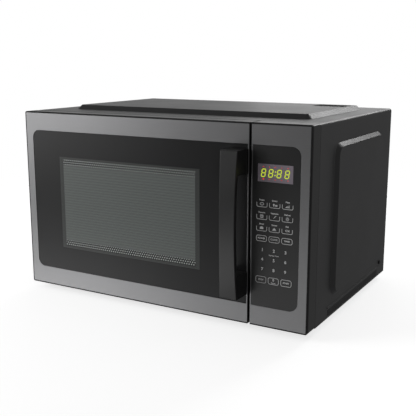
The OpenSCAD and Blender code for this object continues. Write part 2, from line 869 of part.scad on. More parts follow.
module coil(r, w, turns, height, steps = 12) {
  n = turns * steps;
  rise = (height - 2 * w) / turns;
  points = [for (i = [0:n]) each coil_ring(i * 360 / steps, r, w, rise)];
  translate([0, 0, w]) polyhedron(points, tube_faces(n + 1));
}

module latch_spring() {
  z1 = latch_z - latch_len / 2 - 0.2;
  color([0.7, 0.7, 0.7]) placed() translate([latch_x, latch_y + 2.5, z1 - spring_len + 0.2])
    coil(spring_r, spring_wire / 2, spring_turns, spring_len - 0.2);
}

// Control panel
module panel_bezel() {
  color([0.33, 0.33, 0.34]) placed() {
    difference() {
      along_y(0, front_depth) rect_4(panel_l, z_b, x_r, z_t, [0, face_r, face_r, 0]);
      along_y(-over, recess_y) rect_4(over_l, glass_b, over_r, glass_h, [0, glass_r, glass_r, 0]);
      box([panel_l + wall, recess_y + wall, z_b + wall], [x_r - wall, front_depth + over, z_t - wall]);
      along_y(recess_y - over, recess_y + wall + over)
        rect(disp_l + disp_ledge, disp_b + disp_ledge, disp_r - disp_ledge, disp_t - disp_ledge);
      box([key_x - 12, recess_y - over, glass_b + 6], [key_x + 12, recess_y + wall + over, glass_b + 9]);
    }
    for (p = board_spots()) difference() {
      rod_y(recess_y + wall - eps, board_y, p[0], p[1], post_r);
      rod_y(recess_y + wall + 1, board_y + over, p[0], p[1], 1.4);
    }
  }
}

function board_spots() = [
  for (x = [board_l + post_in, board_r - post_in]) for (z = [board_b + post_in, board_h - post_in]) [x, z]
];

module overlay_outline(g) {
  difference() {
    rect_4(over_l + g, glass_b + g, over_r - g, glass_h - g, [0, glass_r - g, glass_r - g, 0]);
    rect(disp_l - disp_fit, disp_b - disp_fit, disp_r + disp_fit, disp_t + disp_fit);
  }
}

module panel_overlay() {
  color([0.12, 0.12, 0.13]) placed() along_y(over_y, memb_y) overlay_outline(sheet_fit);
}

function key_spots() = [for (d = key_drops) for (i = [-1:1]) [key_x + i * key_pitch, disp_b - d]];

module key_membrane() {
  color([0.75, 0.72, 0.6]) placed() difference() {
    along_y(memb_y, recess_y) overlay_outline(sheet_fit + 0.4);
    for (p = key_spots()) rod_y(memb_y - over, memb_y + dome_pocket, p[0], p[1], dome_r + 0.3);
  }
}

module key_domes() {
  color([0.8, 0.8, 0.8]) placed() for (p = key_spots()) {
    translate([p[0], memb_y + dome_pocket, p[1]]) rotate([90, 0, 0])
      cylinder(h = dome_h, r1 = dome_r, r2 = dome_r / 3);
  }
}

module display_lens() {
  color([0.3, 0.28, 0.36, 0.9]) placed() along_y(over_y, recess_y) rect(disp_l, disp_b, disp_r, disp_t);
}

module display_module() {
  y0 = recess_y + wall + 0.2;
  color([0.2, 0.2, 0.2]) placed() {
    box([disp_l - 2, y0, disp_b - 2], [disp_r + 2, board_y - 3, disp_t + 2]);
    for (i = [-3:3]) rod_y(board_y - 3 - eps, board_y, key_x + i * 6, disp_b + 3, 0.4);
  }
}

module control_board() {
  color([0.1, 0.36, 0.2]) placed() difference() {
    box([board_l, board_y, board_b], [board_r, board_y + board_t, board_h]);
    for (p = board_spots()) rod_y(board_y - over, board_y + 3, p[0], p[1], 1.6);
  }
}

module board_relays() {
  color([0.1, 0.2, 0.55]) placed() for (i = [0:2]) {
    translate([board_l + 14 + i * 19, board_y + board_t, board_b + 26]) cube(relay);
  }
}

module board_transformer() {
  y0 = board_y + board_t;
  color([0.75, 0.6, 0.2]) placed() {
    box([board_l + 14, y0, board_b + 62], [board_l + 46, y0 + 12, board_b + 88]);
    box([board_l + 10, y0 + 1, board_b + 67], [board_l + 14 + eps, y0 + 11, board_b + 83]);
    box([board_l + 46 - eps, y0 + 1, board_b + 67], [board_l + 50, y0 + 11, board_b + 83]);
  }
}

module buzzer() {
  y0 = board_y + board_t;
  color([0.08, 0.08, 0.08]) placed() difference() {
    rod_y(y0, y0 + 9, board_r - 18, board_b + 120, 8);
    rod_y(y0 + 5, y0 + 10, board_r - 18, board_b + 120, 1.4);
  }
}

module board_screws() {
  color([0.7, 0.7, 0.7]) placed() for (p = board_spots()) {
    translate([p[0], board_y + board_t, p[1]]) rotate([-90, 0, 0]) screw(9, 1.3);
  }
}

// Turntable
module at_table() {
  placed() translate([cav_x, cav_y, 0]) children();
}

module glass_tray() {
  r = tray_r;
  t = tray_t;
  color([0.8, 0.85, 0.85, 0.5]) at_table() {
    translate([0, 0, tray_z]) rotate_extrude($fn = 96) polygon([
      [0, 0], [r - 16, 0], [r - 2, rim_h - 3], [r, rim_h - 2], [r, rim_h], [r - 4, rim_h], [r - 18, t], [0, t]
    ]);
    for (a = [60, 180, 300]) rotate(a) box([lobe_r - 8, -4, tray_z - 6], [lobe_r, 4, tray_z + eps]);
  }
}

module tray_coupler() {
  z0 = floor_z + 1;
  z1 = tray_z - roller_gap;
  color([0.85, 0.82, 0.74]) at_table() difference() {
    union() {
      rod_z(z0, z1, 0, 0, hub_r);
      for (a = [0, 120, 240]) rotate(a) {
        box([0, -lobe_w / 2, z0 + 3], [lobe_r - lobe_w / 2, lobe_w / 2, z1]);
        rod_z(z0 + 3, z1, lobe_r - lobe_w / 2, 0, lobe_w / 2);
      }
    }
    difference() {
      rod_z(z0 - over, shaft_top + 0.3, 0, 0, shaft_r + 0.05);
      box([shaft_r - 1, -shaft_r, z0], [2 * shaft_r, shaft_r, shaft_top + over]);
    }
  }
}

module motor_shaft() {
  color([0.9, 0.9, 0.88]) at_table() difference() {
    rod_z(cav_b - sheet_t - motor_h + 5, shaft_top, 0, 0, shaft_r);
    box([shaft_r - 1.05, -shaft_r - over, cav_b], [2 * shaft_r, shaft_r + over, shaft_top + over]);
  }
}

module turntable_motor() {
  z1 = cav_b - sheet_t;
  color([0.75, 0.75, 0.76]) at_table() difference() {
    union() {
      rod_z(z1 - motor_h, z1, 0, 0, motor_r);
      for (m = [0, 1]) mirror([m, 0, 0]) box([motor_r - 3, -6, z1 - 1], [motor_r + 10, 6, z1]);
      box([-9, -motor_r - 8, z1 - 14], [9, -motor_r + 3, z1 - 3]);
    }
    rod_z(z1 - motor_h + 4.5, z1 + over, 0, 0, shaft_r + 0.06);
    for (m = [0, 1]) mirror([m, 0, 0]) rod_z(z1 - 2, z1 + over, motor_r + 6, 0, 2);
  }
}

module roller_ring() {
  half = 2.4;
  out = roller_track + roller_w / 2;
  color([0.85, 0.84, 0.8]) at_table() {
    translate([0, 0, roller_z]) rotate_extrude($fn = 96) rect(ring_in, -half, ring_in + ring_w, half);
    for (a = [0, 120, 240]) rotate(a) {
      rod_x(ring_in + ring_w - 1, out + 1.2, 0, roller_z, axle_r);
      rod_x(ring_in + ring_w - 1, out - roller_w - 0.3, 0, roller_z, axle_r + 1.4);
      rod_x(out + 0.5, out + 2, 0, roller_z, axle_r + 0.8);
    }
  }
}

module roller(a) {
  mid = roller_track;
  color([0.9, 0.89, 0.86]) at_table() rotate(a) difference() {
    rod_x(mid - roller_w / 2, mid + roller_w / 2, 0, roller_z, roller_r);
    rod_x(mid - roller_w, mid + roller_w, 0, roller_z, axle_r + axle_fit);
  }
}

module roller_1() {
  roller(0);
}

module roller_2() {
  roller(120);
}

module roller_3() {
  roller(240);
}

// Microwave source
module waveguide() {
  t = sheet_t;
  low = [mach_l, mag_y - guide_len / 2, mag_z - guide_h / 2];
  high = [mach_l + guide_x, mag_y + guide_len / 2, mag_z + guide_h / 2];
  color([0.62, 0.63, 0.64]) placed() difference() {
    union() {
      box(low, high);
      box(low - [0, 8, 0], high + [t - guide_x, 8, 0]);
    }
    box(low + [-over, t, t], high - [t, t, t]);
    rod_x(mach_l + 5, mach_l + guide_x + over, mag_y, mag_z, 11);
  }
}

module mica_cover() {
  color([0.78, 0.74, 0.66]) placed() difference() {
    box([cav_r - 0.6, mag_y - 48, mag_z - 28], [cav_r, mag_y + 48, mag_z + 28]);
    rod_x(cav_r - 2, cav_r + over, mag_y - 44, mag_z, 1.5);
  }
}

module magnetron_tube() {
  l = magnetron_l;
  color([0.72, 0.7, 0.66]) placed() {
    rod_x(mag_x - 14, mag_x + 3, mag_y, mag_z, 8);
    rod_x(mag_x + 3 - eps, mag_x + 2 + magnet_t + 1, mag_y, mag_z, 11);
    rod_x(mag_x + 2 + magnet_t + 1 - eps, mag_x + l - magnet_t - 3, mag_y, mag_z, anode_r);
    rod_x(mag_x + l - magnet_t - 3 - eps, mag_x + l - 3, mag_y, mag_z, 11);
    box([mag_x + l + 0.3, mag_y - 30, mag_z - 25], [mag_x + l + 24, mag_y + 30, mag_z + 25]);
    rod_x(mag_x + l - 4, mag_x + l + 1, mag_y, mag_z, 9);
    for (s = [-1, 1]) rod_z(mag_z - 34, mag_z - 25 + eps, mag_x + l + 12, mag_y + s * 8, 2.2);
  }
}

module magnetron_magnets() {
  l = magnetron_l;
  color([0.16, 0.16, 0.17]) placed() for (x = [mag_x + 2.3, mag_x + l - magnet_t - 2.3]) difference() {
    rod_x(x, x + magnet_t, mag_y, mag_z, magnet_r);
    rod_x(x - over, x + magnet_t + over, mag_y, mag_z, 11.3);
  }
}

module magnetron_fins() {
  x0 = mag_x + 2 + magnet_t + 5;
  x1 = mag_x + magnetron_l - magnet_t - 6;
  step = (x1 - x0) / 6;
  color([0.8, 0.81, 0.82]) placed() for (i = [0:6]) difference() {
    box([x0 + i * step, mag_y - magnetron_w / 2 + 1, mag_z - magnetron_h / 2 + 4],
      [x0 + i * step + 0.6, mag_y + magnetron_w / 2 - 1, mag_z + magnetron_h / 2 - 4]);
    rod_x(x0 - over, x1 + 2, mag_y, mag_z, anode_r + 0.05);
  }
}

module magnetron_yoke() {
  l = magnetron_l;
  h = magnetron_h / 2;
  color([0.6, 0.6, 0.6]) placed() difference() {
    box([mag_x, mag_y - magnetron_w / 2, mag_z - h], [mag_x + l, mag_y + magnetron_w / 2, mag_z + h]);
    box([mag_x + 2, mag_y - magnetron_w, mag_z - h + 2], [mag_x + l - 2, mag_y + magnetron_w, mag_z + h - 2]);
    rod_x(mag_x - over, mag_x + l + over, mag_y, mag_z, 11.4);
  }
}

// High-voltage supply
module transformer_core() {
  z0 = base_z;
  z1 = z0 + core_h;
  color([0.3, 0.3, 0.32]) placed() translate([core_x, core_y, 0]) {
    difference() {
      box([-core_w / 2, -core_d / 2, z0], [core_w / 2, core_d / 2, z1]);
      for (s = [-1, 1]) {
        x0 = s > 0 ? limb / 2 : -limb / 2 - core_window;
        box([x0, -core_d, z0 + yoke_bar], [x0 + core_window, core_d, z1 - yoke_bar]);
      }
    }
    for (s = [-1, 1]) box([-core_w / 2, s > 0 ? core_d / 2 - eps : -core_d / 2 - 12, z0],
      [core_w / 2, s > 0 ? core_d / 2 + 12 : -core_d / 2 + eps, z0 + 2]);
  }
}

module transformer_coils() {
  z0 = base_z + yoke_bar + coil_fit;
  z1 = base_z + core_h - yoke_bar - coil_fit;
  zm = (z0 + z1) / 2;
  ix = limb / 2 + coil_fit;
  iy = core_d / 2 + coil_fit;
  ox = limb / 2 + core_window - coil_fit;
  oy = core_d / 2 + coil_out;
  color([0.7, 0.38, 0.16]) placed() translate([core_x, core_y, 0]) for (z = [[z0, zm - 1], [zm + 1, z1]]) {
    along_z(z[0], z[1]) difference() {
      rect_4(-ox, -oy, ox, oy, [10, 10, 10, 10]);
      rect(-ix, -iy, ix, iy);
    }
  }
}

module capacitor() {
  x0 = mach_l + 22;
  z0 = base_z + 12;
  r = cap_d / 2;
  color([0.78, 0.79, 0.8]) placed() {
    along_x(x0, x0 + cap_len) {
      translate([cap_y, z0 + r]) circle(r);
      translate([cap_y, z0 + cap_h - r]) circle(r);
      rect(cap_y - r, z0 + r, cap_y + r, z0 + cap_h - r);
    }
    for (z = [z0 + 17, z0 + 33]) box([x0 - 7, cap_y - 3.2, z - 0.4], [x0 + eps, cap_y + 3.2, z + 0.4]);
  }
}

module capacitor_clamp() {
  x0 = mach_l + 22 + cap_len / 2;
  z0 = base_z + 12;
  r = cap_d / 2 + 0.3;
  color([0.62, 0.63, 0.64]) placed() {
    along_x(x0 - 8, x0 + 8) difference() {
      union() {
        translate([cap_y, z0 + r - 0.3]) circle(r + 1);
        translate([cap_y, z0 + cap_h - r + 0.3]) circle(r + 1);
        rect(cap_y - r - 1, z0 + r, cap_y + r + 1, z0 + cap_h - r);
      }
      translate([cap_y, z0 + r - 0.3]) circle(r);
      translate([cap_y, z0 + cap_h - r + 0.3]) circle(r);
      rect(cap_y - r, z0 + r, cap_y + r, z0 + cap_h - r);
    }
    box([x0 - 8, cap_y + r, base_z], [x0 + 8, cap_y + r + 1, z0 + 20]);
    box([x0 - 8, cap_y + r, base_z], [x0 + 8, cap_y + r + 13, base_z + 1.2]);
  }
}

module hv_diode() {
  x0 = mach_l + 40;
  z0 = base_z + 14;
  y0 = cap_y - cap_d / 2 - 10;
  color([0.1, 0.1, 0.1]) placed() {
    rod_x(x0, x0 + 22, y0, z0, 3.4);
    rod_x(x0 - 14, x0 + eps, y0, z0, 0.6);
    rod_x(x0 + 22 - eps, x0 + 36, y0, z0, 0.6);
  }
}

// Cooling fan
module fan_shroud() {
  half = 60;
  duct = fan_r + fan_gap;
  color([0.9, 0.9, 0.88]) placed() {
    difference() {
      union() {
        box([mach_l + 2, fan_y + 8, fan_z - half], [mach_r - 2, fan_y + 10, fan_z + half]);
        rod_y(fan_y - 16, fan_y + 9, fan_x, fan_z, duct + 1.6);
      }
      rod_y(fan_y - 20, fan_y + 12, fan_x, fan_z, duct);
    }
    for (s = [-1, 1]) {
      mid = fan_z + s * (duct - 12);
      box([fan_x - 4, fan_y - 16, mid - 13], [fan_x + 4, fan_y - 14, mid + 13]);
    }
  }
}

module fan_motor() {
  y1 = fan_y - 16;
  y0 = y1 - 18;
  color([0.5, 0.5, 0.52]) placed() difference() {
    union() {
      box([fan_x - 30, y0, fan_z - 34], [fan_x + 30, y1, fan_z + 34]);
      box([fan_x - 17, y0 - 6, fan_z - 40], [fan_x + 17, y1, fan_z - 20]);
      box([fan_x - 5, y0 - 7, fan_z - 22], [fan_x + 5, y0 + eps, fan_z + 22]);
    }
    rod_y(y0 - 4, y1 + over, fan_x, fan_z, rotor_r + rotor_gap);
    rod_y(y0 - 9, y1 + over, fan_x, fan_z, fan_shaft_r + 0.06);
  }
}

module fan_rotor() {
  y1 = fan_y - 16;
  color([0.7, 0.7, 0.7]) placed() {
    rod_y(y1 - 17, y1 - 1, fan_x, fan_z, rotor_r);
    rod_y(y1 - 24, fan_y + 6, fan_x, fan_z, fan_shaft_r);
  }
}

module fan_blade() {
  color([0.2, 0.2, 0.22]) placed() translate([fan_x, fan_y - 2, fan_z]) rotate([-90, 0, 0]) difference() {
    union() {
      translate([0, 0, -7]) cylinder(h = 14, r = 11);
      intersection() {
        translate([0, 0, -8]) cylinder(h = 16, r = fan_r);
        for (a = [0:72:288]) rotate(a) rotate([32, 0, 0]) translate([8, -17, -0.6]) cube([fan_r, 34, 1.2]);
      }
    }
    translate([0, 0, -9]) cylinder(h = 18, r = fan_shaft_r + 0.02);
  }
}

module oven_lamp() {
  color([0.9, 0.88, 0.8]) placed() {
    rod_x(mach_l + 3, mach_l + 16, lamp_y, lamp_z, 9);
    translate([mach_l + 3, lamp_y, lamp_z]) sphere(2.5);
    rod_x(mach_l + 16 - eps, mach_l + 30, lamp_y, lamp_z, 12);
    box([mach_l, lamp_y - 16, lamp_z - 14], [mach_l + 1, lamp_y - 14, lamp_z + 14]);
    box([mach_l, lamp_y - 16, lamp_z - 14], [mach_l + 28, lamp_y - 15, lamp_z + 14]);
    box([mach_l + 18, lamp_y - 16, lamp_z - 4], [mach_l + 28, lamp_y - 11, lamp_z + 4]);
  }
}

module thermal_cutouts() {
  spots = [
    [mag_x + magnetron_l / 2, mag_y - 8, mag_z + magnetron_h / 2],
    [cav_x + 40, cav_y, cav_t + sheet_t]
  ];
  color([0.12, 0.1, 0.08]) placed() for (p = spots) translate(p) {
    cylinder(h = 1, r = 10);
    translate([0, 0, 1 - eps]) cylinder(h = 8, r = 7.5);
    for (s = [-1, 1]) box([s * 4 - 0.4, -3, 9 - 2 * eps], [s * 4 + 0.4, 3, 16]);
  }
}

// Door interlock
module latch_board() {
  x0 = latch_x - 13;
  x1 = latch_x + 13;
  y0 = plate_back;
  z0 = hook_low - 26;
  z1 = hook_high + 26;
  back = switch_y + 16;
  color([0.88, 0.88, 0.85]) placed() difference() {
    union() {
      box([x0, y0, z0], [x1, y0 + 2, z1]);
      for (x = [x0, x1 - 2]) for (z = [[hook_low, 18], [hook_high, 14]]) {
        box([x, y0, z[0] - z[1] - 2], [x + 2, back, z[0] + z[1] + latch_lift]);
      }
    }
    hook_slot(hook_low, hook_low_h, y0 - over, y0 + 3);
    hook_slot(hook_high, hook_high_h, y0 - over, y0 + 3);
  }
}

function switch_spots() = [hook_low - switch_pitch / 2, hook_low + switch_pitch / 2, hook_high];

module interlock_switches() {
  half = 10.8;
  color([0.1, 0.1, 0.12]) placed() for (z = switch_spots()) {
    difference() {
      box([latch_x - half, switch_y, z - 5], [latch_x + half, switch_y + 15, z + 5]);
      rod_y(switch_y - over, switch_y + 6, latch_x, z, plunger_r + plunger_fit);
    }
    for (s = [-1, 1]) {
      translate([latch_x + s * 6 - 2, switch_y + 15 - eps, z - 0.4]) cube([4, 6, 0.8]);
    }
  }
}

module switch_plungers() {
  color([0.8, 0.2, 0.15]) placed() for (z = switch_spots()) {
    rod_y(switch_y - plunger_l, switch_y + 4, latch_x, z, plunger_r);
  }
}

// Leads: from the gland to the board, and between the high-voltage parts
module wiring() {
  gz = gland_z;
  gx = gland_x;
  core_top = base_z + core_h - yoke_bar;
  plug_x = mag_x + magnetron_l + 12;
  color([0.75, 0.1, 0.08]) placed() {
    wire([[core_x - 10, core_y + 46, core_top - 14], [core_x - 10, core_y + 60, core_top - 14],
      [mach_l + 10, core_y + 60, core_top - 14], [mach_l + 10, cap_y, base_z + 45.2 - 0.4 - wire_r]]);
    wire([[core_x + 10, core_y + 46, core_top - 8], [core_x + 10, core_y + 56, core_top - 8],
      [plug_x, mag_y - 8, mag_z - 42], [plug_x, mag_y - 8, mag_z - 34.3]]);
    wire([[gx - 2, body_d - 8, gz], [gx - 2, body_d - 22, gz], [mach_r - 8, body_d - 40, gz + 30],
      [mach_r - 8, 60, board_b + 70], [key_x + 4, 40, board_b + 100],
      [key_x + 4, board_y + board_t + 0.4, board_b + 100]]);
  }
}

cabinet_wrap();
base_plate();
back_panel();
front_plate();
oven_cavity();
feet();
cabinet_screws();
cord_gland();
upper_hinge();
lower_hinge();
door_frame();
door_glass();
door_plate();
screen_mesh();
choke_cover();
inner_window();
handle();
handle_screws();
latch_lever();
latch_spring();
panel_bezel();
panel_overlay();
key_membrane();
key_domes();
display_lens();
display_module();
control_board();
board_relays();
board_transformer();
buzzer();
board_screws();
glass_tray();
roller_ring();
roller_1();
roller_2();
roller_3();
tray_coupler();
motor_shaft();
turntable_motor();
waveguide();
mica_cover();
magnetron_tube();
magnetron_magnets();
magnetron_fins();
magnetron_yoke();
transformer_core();
transformer_coils();
capacitor();
capacitor_clamp();
hv_diode();
fan_shroud();
fan_motor();
fan_rotor();
fan_blade();
oven_lamp();
thermal_cutouts();
latch_board();
interlock_switches();
switch_plungers();
wiring();
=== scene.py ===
# %% [markdown]
# # A countertop microwave oven
#
# The oven arrives as sixty solid pieces that already have their true sizes and joints.
# This lesson gives those pieces their looks: rounded edges, coated and brushed metal, printed glass,
# a perforated screen, a control panel with its keys and a lit display.
# Everything is in metres. The front faces towards -Y and the oven stands on the plane z = 0.

# %% Load the solid pieces
import json
import math

import bmesh
import bpy
import numpy as np
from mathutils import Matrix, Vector


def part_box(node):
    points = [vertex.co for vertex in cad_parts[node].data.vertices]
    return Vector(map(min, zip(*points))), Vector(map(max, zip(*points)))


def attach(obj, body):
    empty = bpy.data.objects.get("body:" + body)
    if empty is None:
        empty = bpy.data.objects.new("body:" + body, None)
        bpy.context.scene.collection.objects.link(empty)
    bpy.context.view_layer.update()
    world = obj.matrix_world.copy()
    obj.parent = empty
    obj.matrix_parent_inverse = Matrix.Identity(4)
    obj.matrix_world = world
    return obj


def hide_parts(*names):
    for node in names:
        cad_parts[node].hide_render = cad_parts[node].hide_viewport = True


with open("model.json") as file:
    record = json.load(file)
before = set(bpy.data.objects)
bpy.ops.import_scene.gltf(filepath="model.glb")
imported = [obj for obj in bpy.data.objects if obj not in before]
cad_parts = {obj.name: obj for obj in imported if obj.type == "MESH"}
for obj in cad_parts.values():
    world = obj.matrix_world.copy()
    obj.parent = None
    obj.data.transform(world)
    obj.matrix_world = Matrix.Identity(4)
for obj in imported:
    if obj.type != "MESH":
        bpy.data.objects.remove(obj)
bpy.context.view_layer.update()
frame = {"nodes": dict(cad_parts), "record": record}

# %% [markdown]
# ## Camera
#
# A long lens from a little above, standing 30 degrees round to the right of the door.
# A camera could be aimed with three turns, each worked out by hand.
# Here only the direction of sight is given, and the turn that looks along it follows from it.

# %% Camera
VIEW_AZIMUTH = math.radians(30.07)
VIEW_HEIGHT = math.radians(11.87)
CAMERA_PLACE = (0.6145, -1.06075, 0.395)
LENS = 62.4

camera_data = bpy.data.cameras.new("camera")
camera_data.sensor_width = 36
camera_data.lens = LENS
camera_data.clip_start = 0.02
camera_data.clip_end = 50
camera = bpy.data.objects.new("camera", camera_data)
bpy.context.scene.collection.objects.link(camera)
away = Vector((
    math.sin(VIEW_AZIMUTH) * math.cos(VIEW_HEIGHT),
    -math.cos(VIEW_AZIMUTH) * math.cos(VIEW_HEIGHT),
    math.sin(VIEW_HEIGHT),
))
camera.location = CAMERA_PLACE
camera.rotation_mode = "QUATERNION"
camera.rotation_quaternion = (-away).to_track_quat("-Z", "Y")
bpy.context.scene.camera = camera
print("camera", [round(v, 3) for v in camera.location])

# %% [markdown]
# ## Shader sums
#
# A material is a net of small nodes. Writing each node and link by hand hides the idea,
# so one class stands for a node's output and takes part in ordinary sums,
# and one method makes any other node from its kind, its settings and its sockets.

# %% Values
class Value:
    """One output in a material's nodes. A sum on it adds a Math node."""

    def __init__(self, finish, socket):
        self.finish = finish
        self.socket = socket

    def math(self, operation, first, second=0.0):
        """A Math node on two inputs, each a value or a plain number."""
        return self.finish.node("Math", {"operation": operation}, {0: first, 1: second})

    def __add__(self, other):
        return self.math("ADD", self, other)

    def __radd__(self, other):
        return self.math("ADD", other, self)

    def __sub__(self, other):
        return self.math("SUBTRACT", self, other)

    def __rsub__(self, other):
        return self.math("SUBTRACT", other, self)

    def __mul__(self, other):
        return self.math("MULTIPLY", self, other)

    def __truediv__(self, other):
        return self.math("DIVIDE", self, other)

    def __gt__(self, other):
        return self.math("GREATER_THAN", self, other)

    def __lt__(self, other):
        return self.math("LESS_THAN", self, other)

    def wave(self):
        """Rises from 0 to 1 and falls again, once for each whole number."""
        return self.math("PINGPONG", self, 1.0)

    def fraction(self):
        """What is left over the whole number below."""
        return self.math("FRACT", self)


# %% Finishes
class Finish:
    """One material, with a Principled shader at the end of its nodes."""

    def __init__(self, name):
        self.material = bpy.data.materials.new(name)
        self.material.use_nodes = True
        self.tree = self.material.node_tree
        self.tree.nodes.clear()

    def node(self, kind, settings=None, sockets=None, out=0):
        """Makes one node. Settings come first, then values or links for its sockets."""
        made = self.tree.nodes.new("ShaderNode" + kind)
        for key, value in (settings or {}).items():
            setattr(made, key, value)
        for key, value in (sockets or {}).items():
            if isinstance(value, Value):
                self.tree.links.new(value.socket, made.inputs[key])
            else:
                made.inputs[key].default_value = value
        return Value(self, made.outputs[out])

    def place(self, stretch=(1, 1, 1)):
        """The point on the piece, in metres, with each axis multiplied by stretch."""
        here = self.node("TexCoord", out="Object")
        return self.node("Mapping", None, {"Vector": here, "Scale": stretch})

    def axes(self):
        """The point's x, y and z as three values."""
        parts = self.node("SeparateXYZ", None, {"Vector": self.place()})
        return [Value(self, s) for s in parts.socket.node.outputs]

    def noise(self, size, detail=2.0, stretch=(1, 1, 1)):
        """Cloudy noise from 0 to 1 whose lumps are about size metres across."""
        sockets = {"Vector": self.place(stretch), "Scale": 1 / size, "Detail": detail}
        return self.node("TexNoise", None, sockets)

    def cells(self, size, stretch=(1, 1, 1), out="Color"):
        """Cells about size metres across, each with its own value."""
        return self.node("TexVoronoi", None, {"Vector": self.place(stretch), "Scale": 1 / size}, out)

    def mix(self, factor, low, high):
        """The colour low where factor is 0 and high where it is 1."""
        return self.node("Mix", {"data_type": "RGBA"}, {0: factor, 6: low, 7: high}, 2)

    def bump(self, height, depth):
        """A normal for a surface that rises by height times depth metres."""
        return self.node("Bump", None, {"Height": height, "Distance": depth, "Strength": 1.0})

    def done(self, **sockets):
        """Ends the material with a Principled shader. Base_Color stands for the socket Base Color."""
        named = {key.replace("_", " "): value for key, value in sockets.items()}
        shader = self.node("BsdfPrincipled", None, named)
        end = self.tree.nodes.new("ShaderNodeOutputMaterial")
        self.tree.links.new(shader.socket, end.inputs["Surface"])
        return self.material


# %% Colours
def tone(red, green=None, blue=None):
    """A colour from its screen values, 0 to 255, changed to the linear light that shaders use."""
    screen = [v / 255 for v in (red, red if green is None else green, red if blue is None else blue)]
    return tuple(v / 12.92 if v < 0.04045 else ((v + 0.055) / 1.055) ** 2.4 for v in screen) + (1.0,)


def scaled(colour, factor):
    """The colour made lighter or darker."""
    return tuple(min(1.0, v * factor) for v in colour[:3]) + (1.0,)


print("mid grey in linear light:", round(tone(128)[0], 3))

# %% [markdown]
# ## Coated, brushed and zinc-coated finishes
#
# Most of the oven is steel sheet and moulded plastic.
# A moulded or coated face is never one flat colour: it has a fine grain that catches light,
# a slow drift in tone over tens of millimetres, and patches that are a little shinier where hands go.
# Each could be a picture wrapped round the piece, but noise needs no picture and has no seams.
# One recipe makes them all, with the grain's size and depth set for each finish.
# Brushed metal and zinc-coated sheet each take a recipe of their own.

# %% Recipes for coated, brushed and zinc-coated faces
CRYSTAL = 0.009
BRUSH_DEPTH = 0.000004


def coated(name, colour, rough, grain=0.0006, depth=0.00001, drift=0.12, metal=0.0):
    """A grained surface. Tone and shine drift over centimetres, the bump follows the grain."""
    f = Finish(name)
    slow = f.noise(0.06, 3.0)
    fine = f.noise(grain, 2.0)
    tint = f.mix(slow * 0.7 + fine * 0.3, scaled(colour, 1 - drift), scaled(colour, 1 + drift))
    shine = rough + (slow - 0.5) * 0.12 + (fine - 0.5) * 0.08
    return f.done(Base_Color=tint, Roughness=shine, Metallic=metal, Normal=f.bump(fine, depth))


def brushed(name, colour, rough, stretch, line=0.00035):
    """Metal with fine straight lines, which are noise drawn out along one axis."""
    f = Finish(name)
    lines = f.noise(line, 3.0, stretch)
    slow = f.noise(0.08, 2.0)
    tint = f.mix(lines * 0.6 + slow * 0.4, scaled(colour, 0.88), scaled(colour, 1.12))
    shine = rough + (lines - 0.5) * 0.12
    return f.done(Base_Color=tint, Roughness=shine, Metallic=1.0, Normal=f.bump(lines, BRUSH_DEPTH))


def spangled(name, colour, rough):
    """Zinc-coated sheet: flat crystals, each with its own brightness, under a fine grain."""
    f = Finish(name)
    crystal = f.node("SeparateColor", None, {"Color": f.cells(CRYSTAL)})
    fine = f.noise(0.0009, 3.0)
    tint = f.mix(crystal * 0.7 + fine * 0.3, scaled(colour, 0.8), scaled(colour, 1.15))
    return f.done(Base_Color=tint, Metallic=1.0, Roughness=rough + crystal * 0.12,
                  Normal=f.bump(fine, 0.000006))


print("zinc crystals are", round(1000 * CRYSTAL), "mm across")

# %% [markdown]
# ## The front's silver film
#
# The door's frame and the panel's frame are dark plastic, and their flat front carries a thin brushed film.
# The film stops a little short of the outline. A rim painted near black, darker than the plastic, runs round
# the whole front and a few millimetres back along its edges: painted shade along the outline.
# The film could be a sheet of its own, but it is thinner than the edges' rounding.
# Instead, one finish asks where each point lies: on the film, on the rim or on the plain plastic.

# %% Silver film on dark plastic
FILM_DEPTH = 0.0003
FILM_RIM = 0.0022


def inside(value, low, high):
    """1 where value is between low and high, and 0 elsewhere."""
    return (value > low) * (value < high)


def faced_plastic():
    """Film where the point is within FILM_DEPTH of the front and more than FILM_RIM inside the outline. Round
    it, within 2 * FILM_RIM of the front, a near-black rim of painted shade.
    """
    f = Finish("silver_plastic")
    x, y, z = f.axes()
    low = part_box("door_frame")[0]
    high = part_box("panel_bezel")[1]
    film = (y < low.y + FILM_DEPTH) * inside(x, low.x + FILM_RIM, high.x - FILM_RIM)
    film = film * inside(z, low.z + FILM_RIM, high.z - FILM_RIM)
    # The rim: all plastic within 2 * FILM_RIM of the front, which gets painted shade.
    rim = (y < low.y + 2 * FILM_RIM) * (film < 0.5)
    lines = f.noise(0.00035, 3.0, (0.02, 1, 1))
    slow = f.noise(0.08, 2.0)
    bright = f.mix(lines * 0.6 + slow * 0.4, tone(119, 119, 120), tone(131, 131, 132))
    # Painted shade: the rim is painted near black, tone(10), darker than the plain plastic, tone(44).
    tint = f.mix(rim, f.mix(film, tone(44), bright), tone(10))
    shine = 0.36 + (lines - 0.5) * 0.1 + rim * 0.4
    return f.done(Base_Color=tint, Roughness=shine, Metallic=film * 0.85, Normal=f.bump(lines, BRUSH_DEPTH))


print("the dark rim is", 1000 * FILM_RIM, "mm wide")

# %% [markdown]
# ## The cover's enamel, and the table of finishes
#
# The cover is steel sheet under satin black powder. The field of small vents in its top looks darker
# and duller than the sheet round it, because the slots open onto shade, so the finish paints that shade near
# black on the points that lie in the field.
# Then the first finishes are made, each under the name that the part list gives it.

# %% Cover enamel
VENT_LOW = (0.1485, 0.0965, 0.300)
VENT_HIGH = (0.2025, 0.1345)


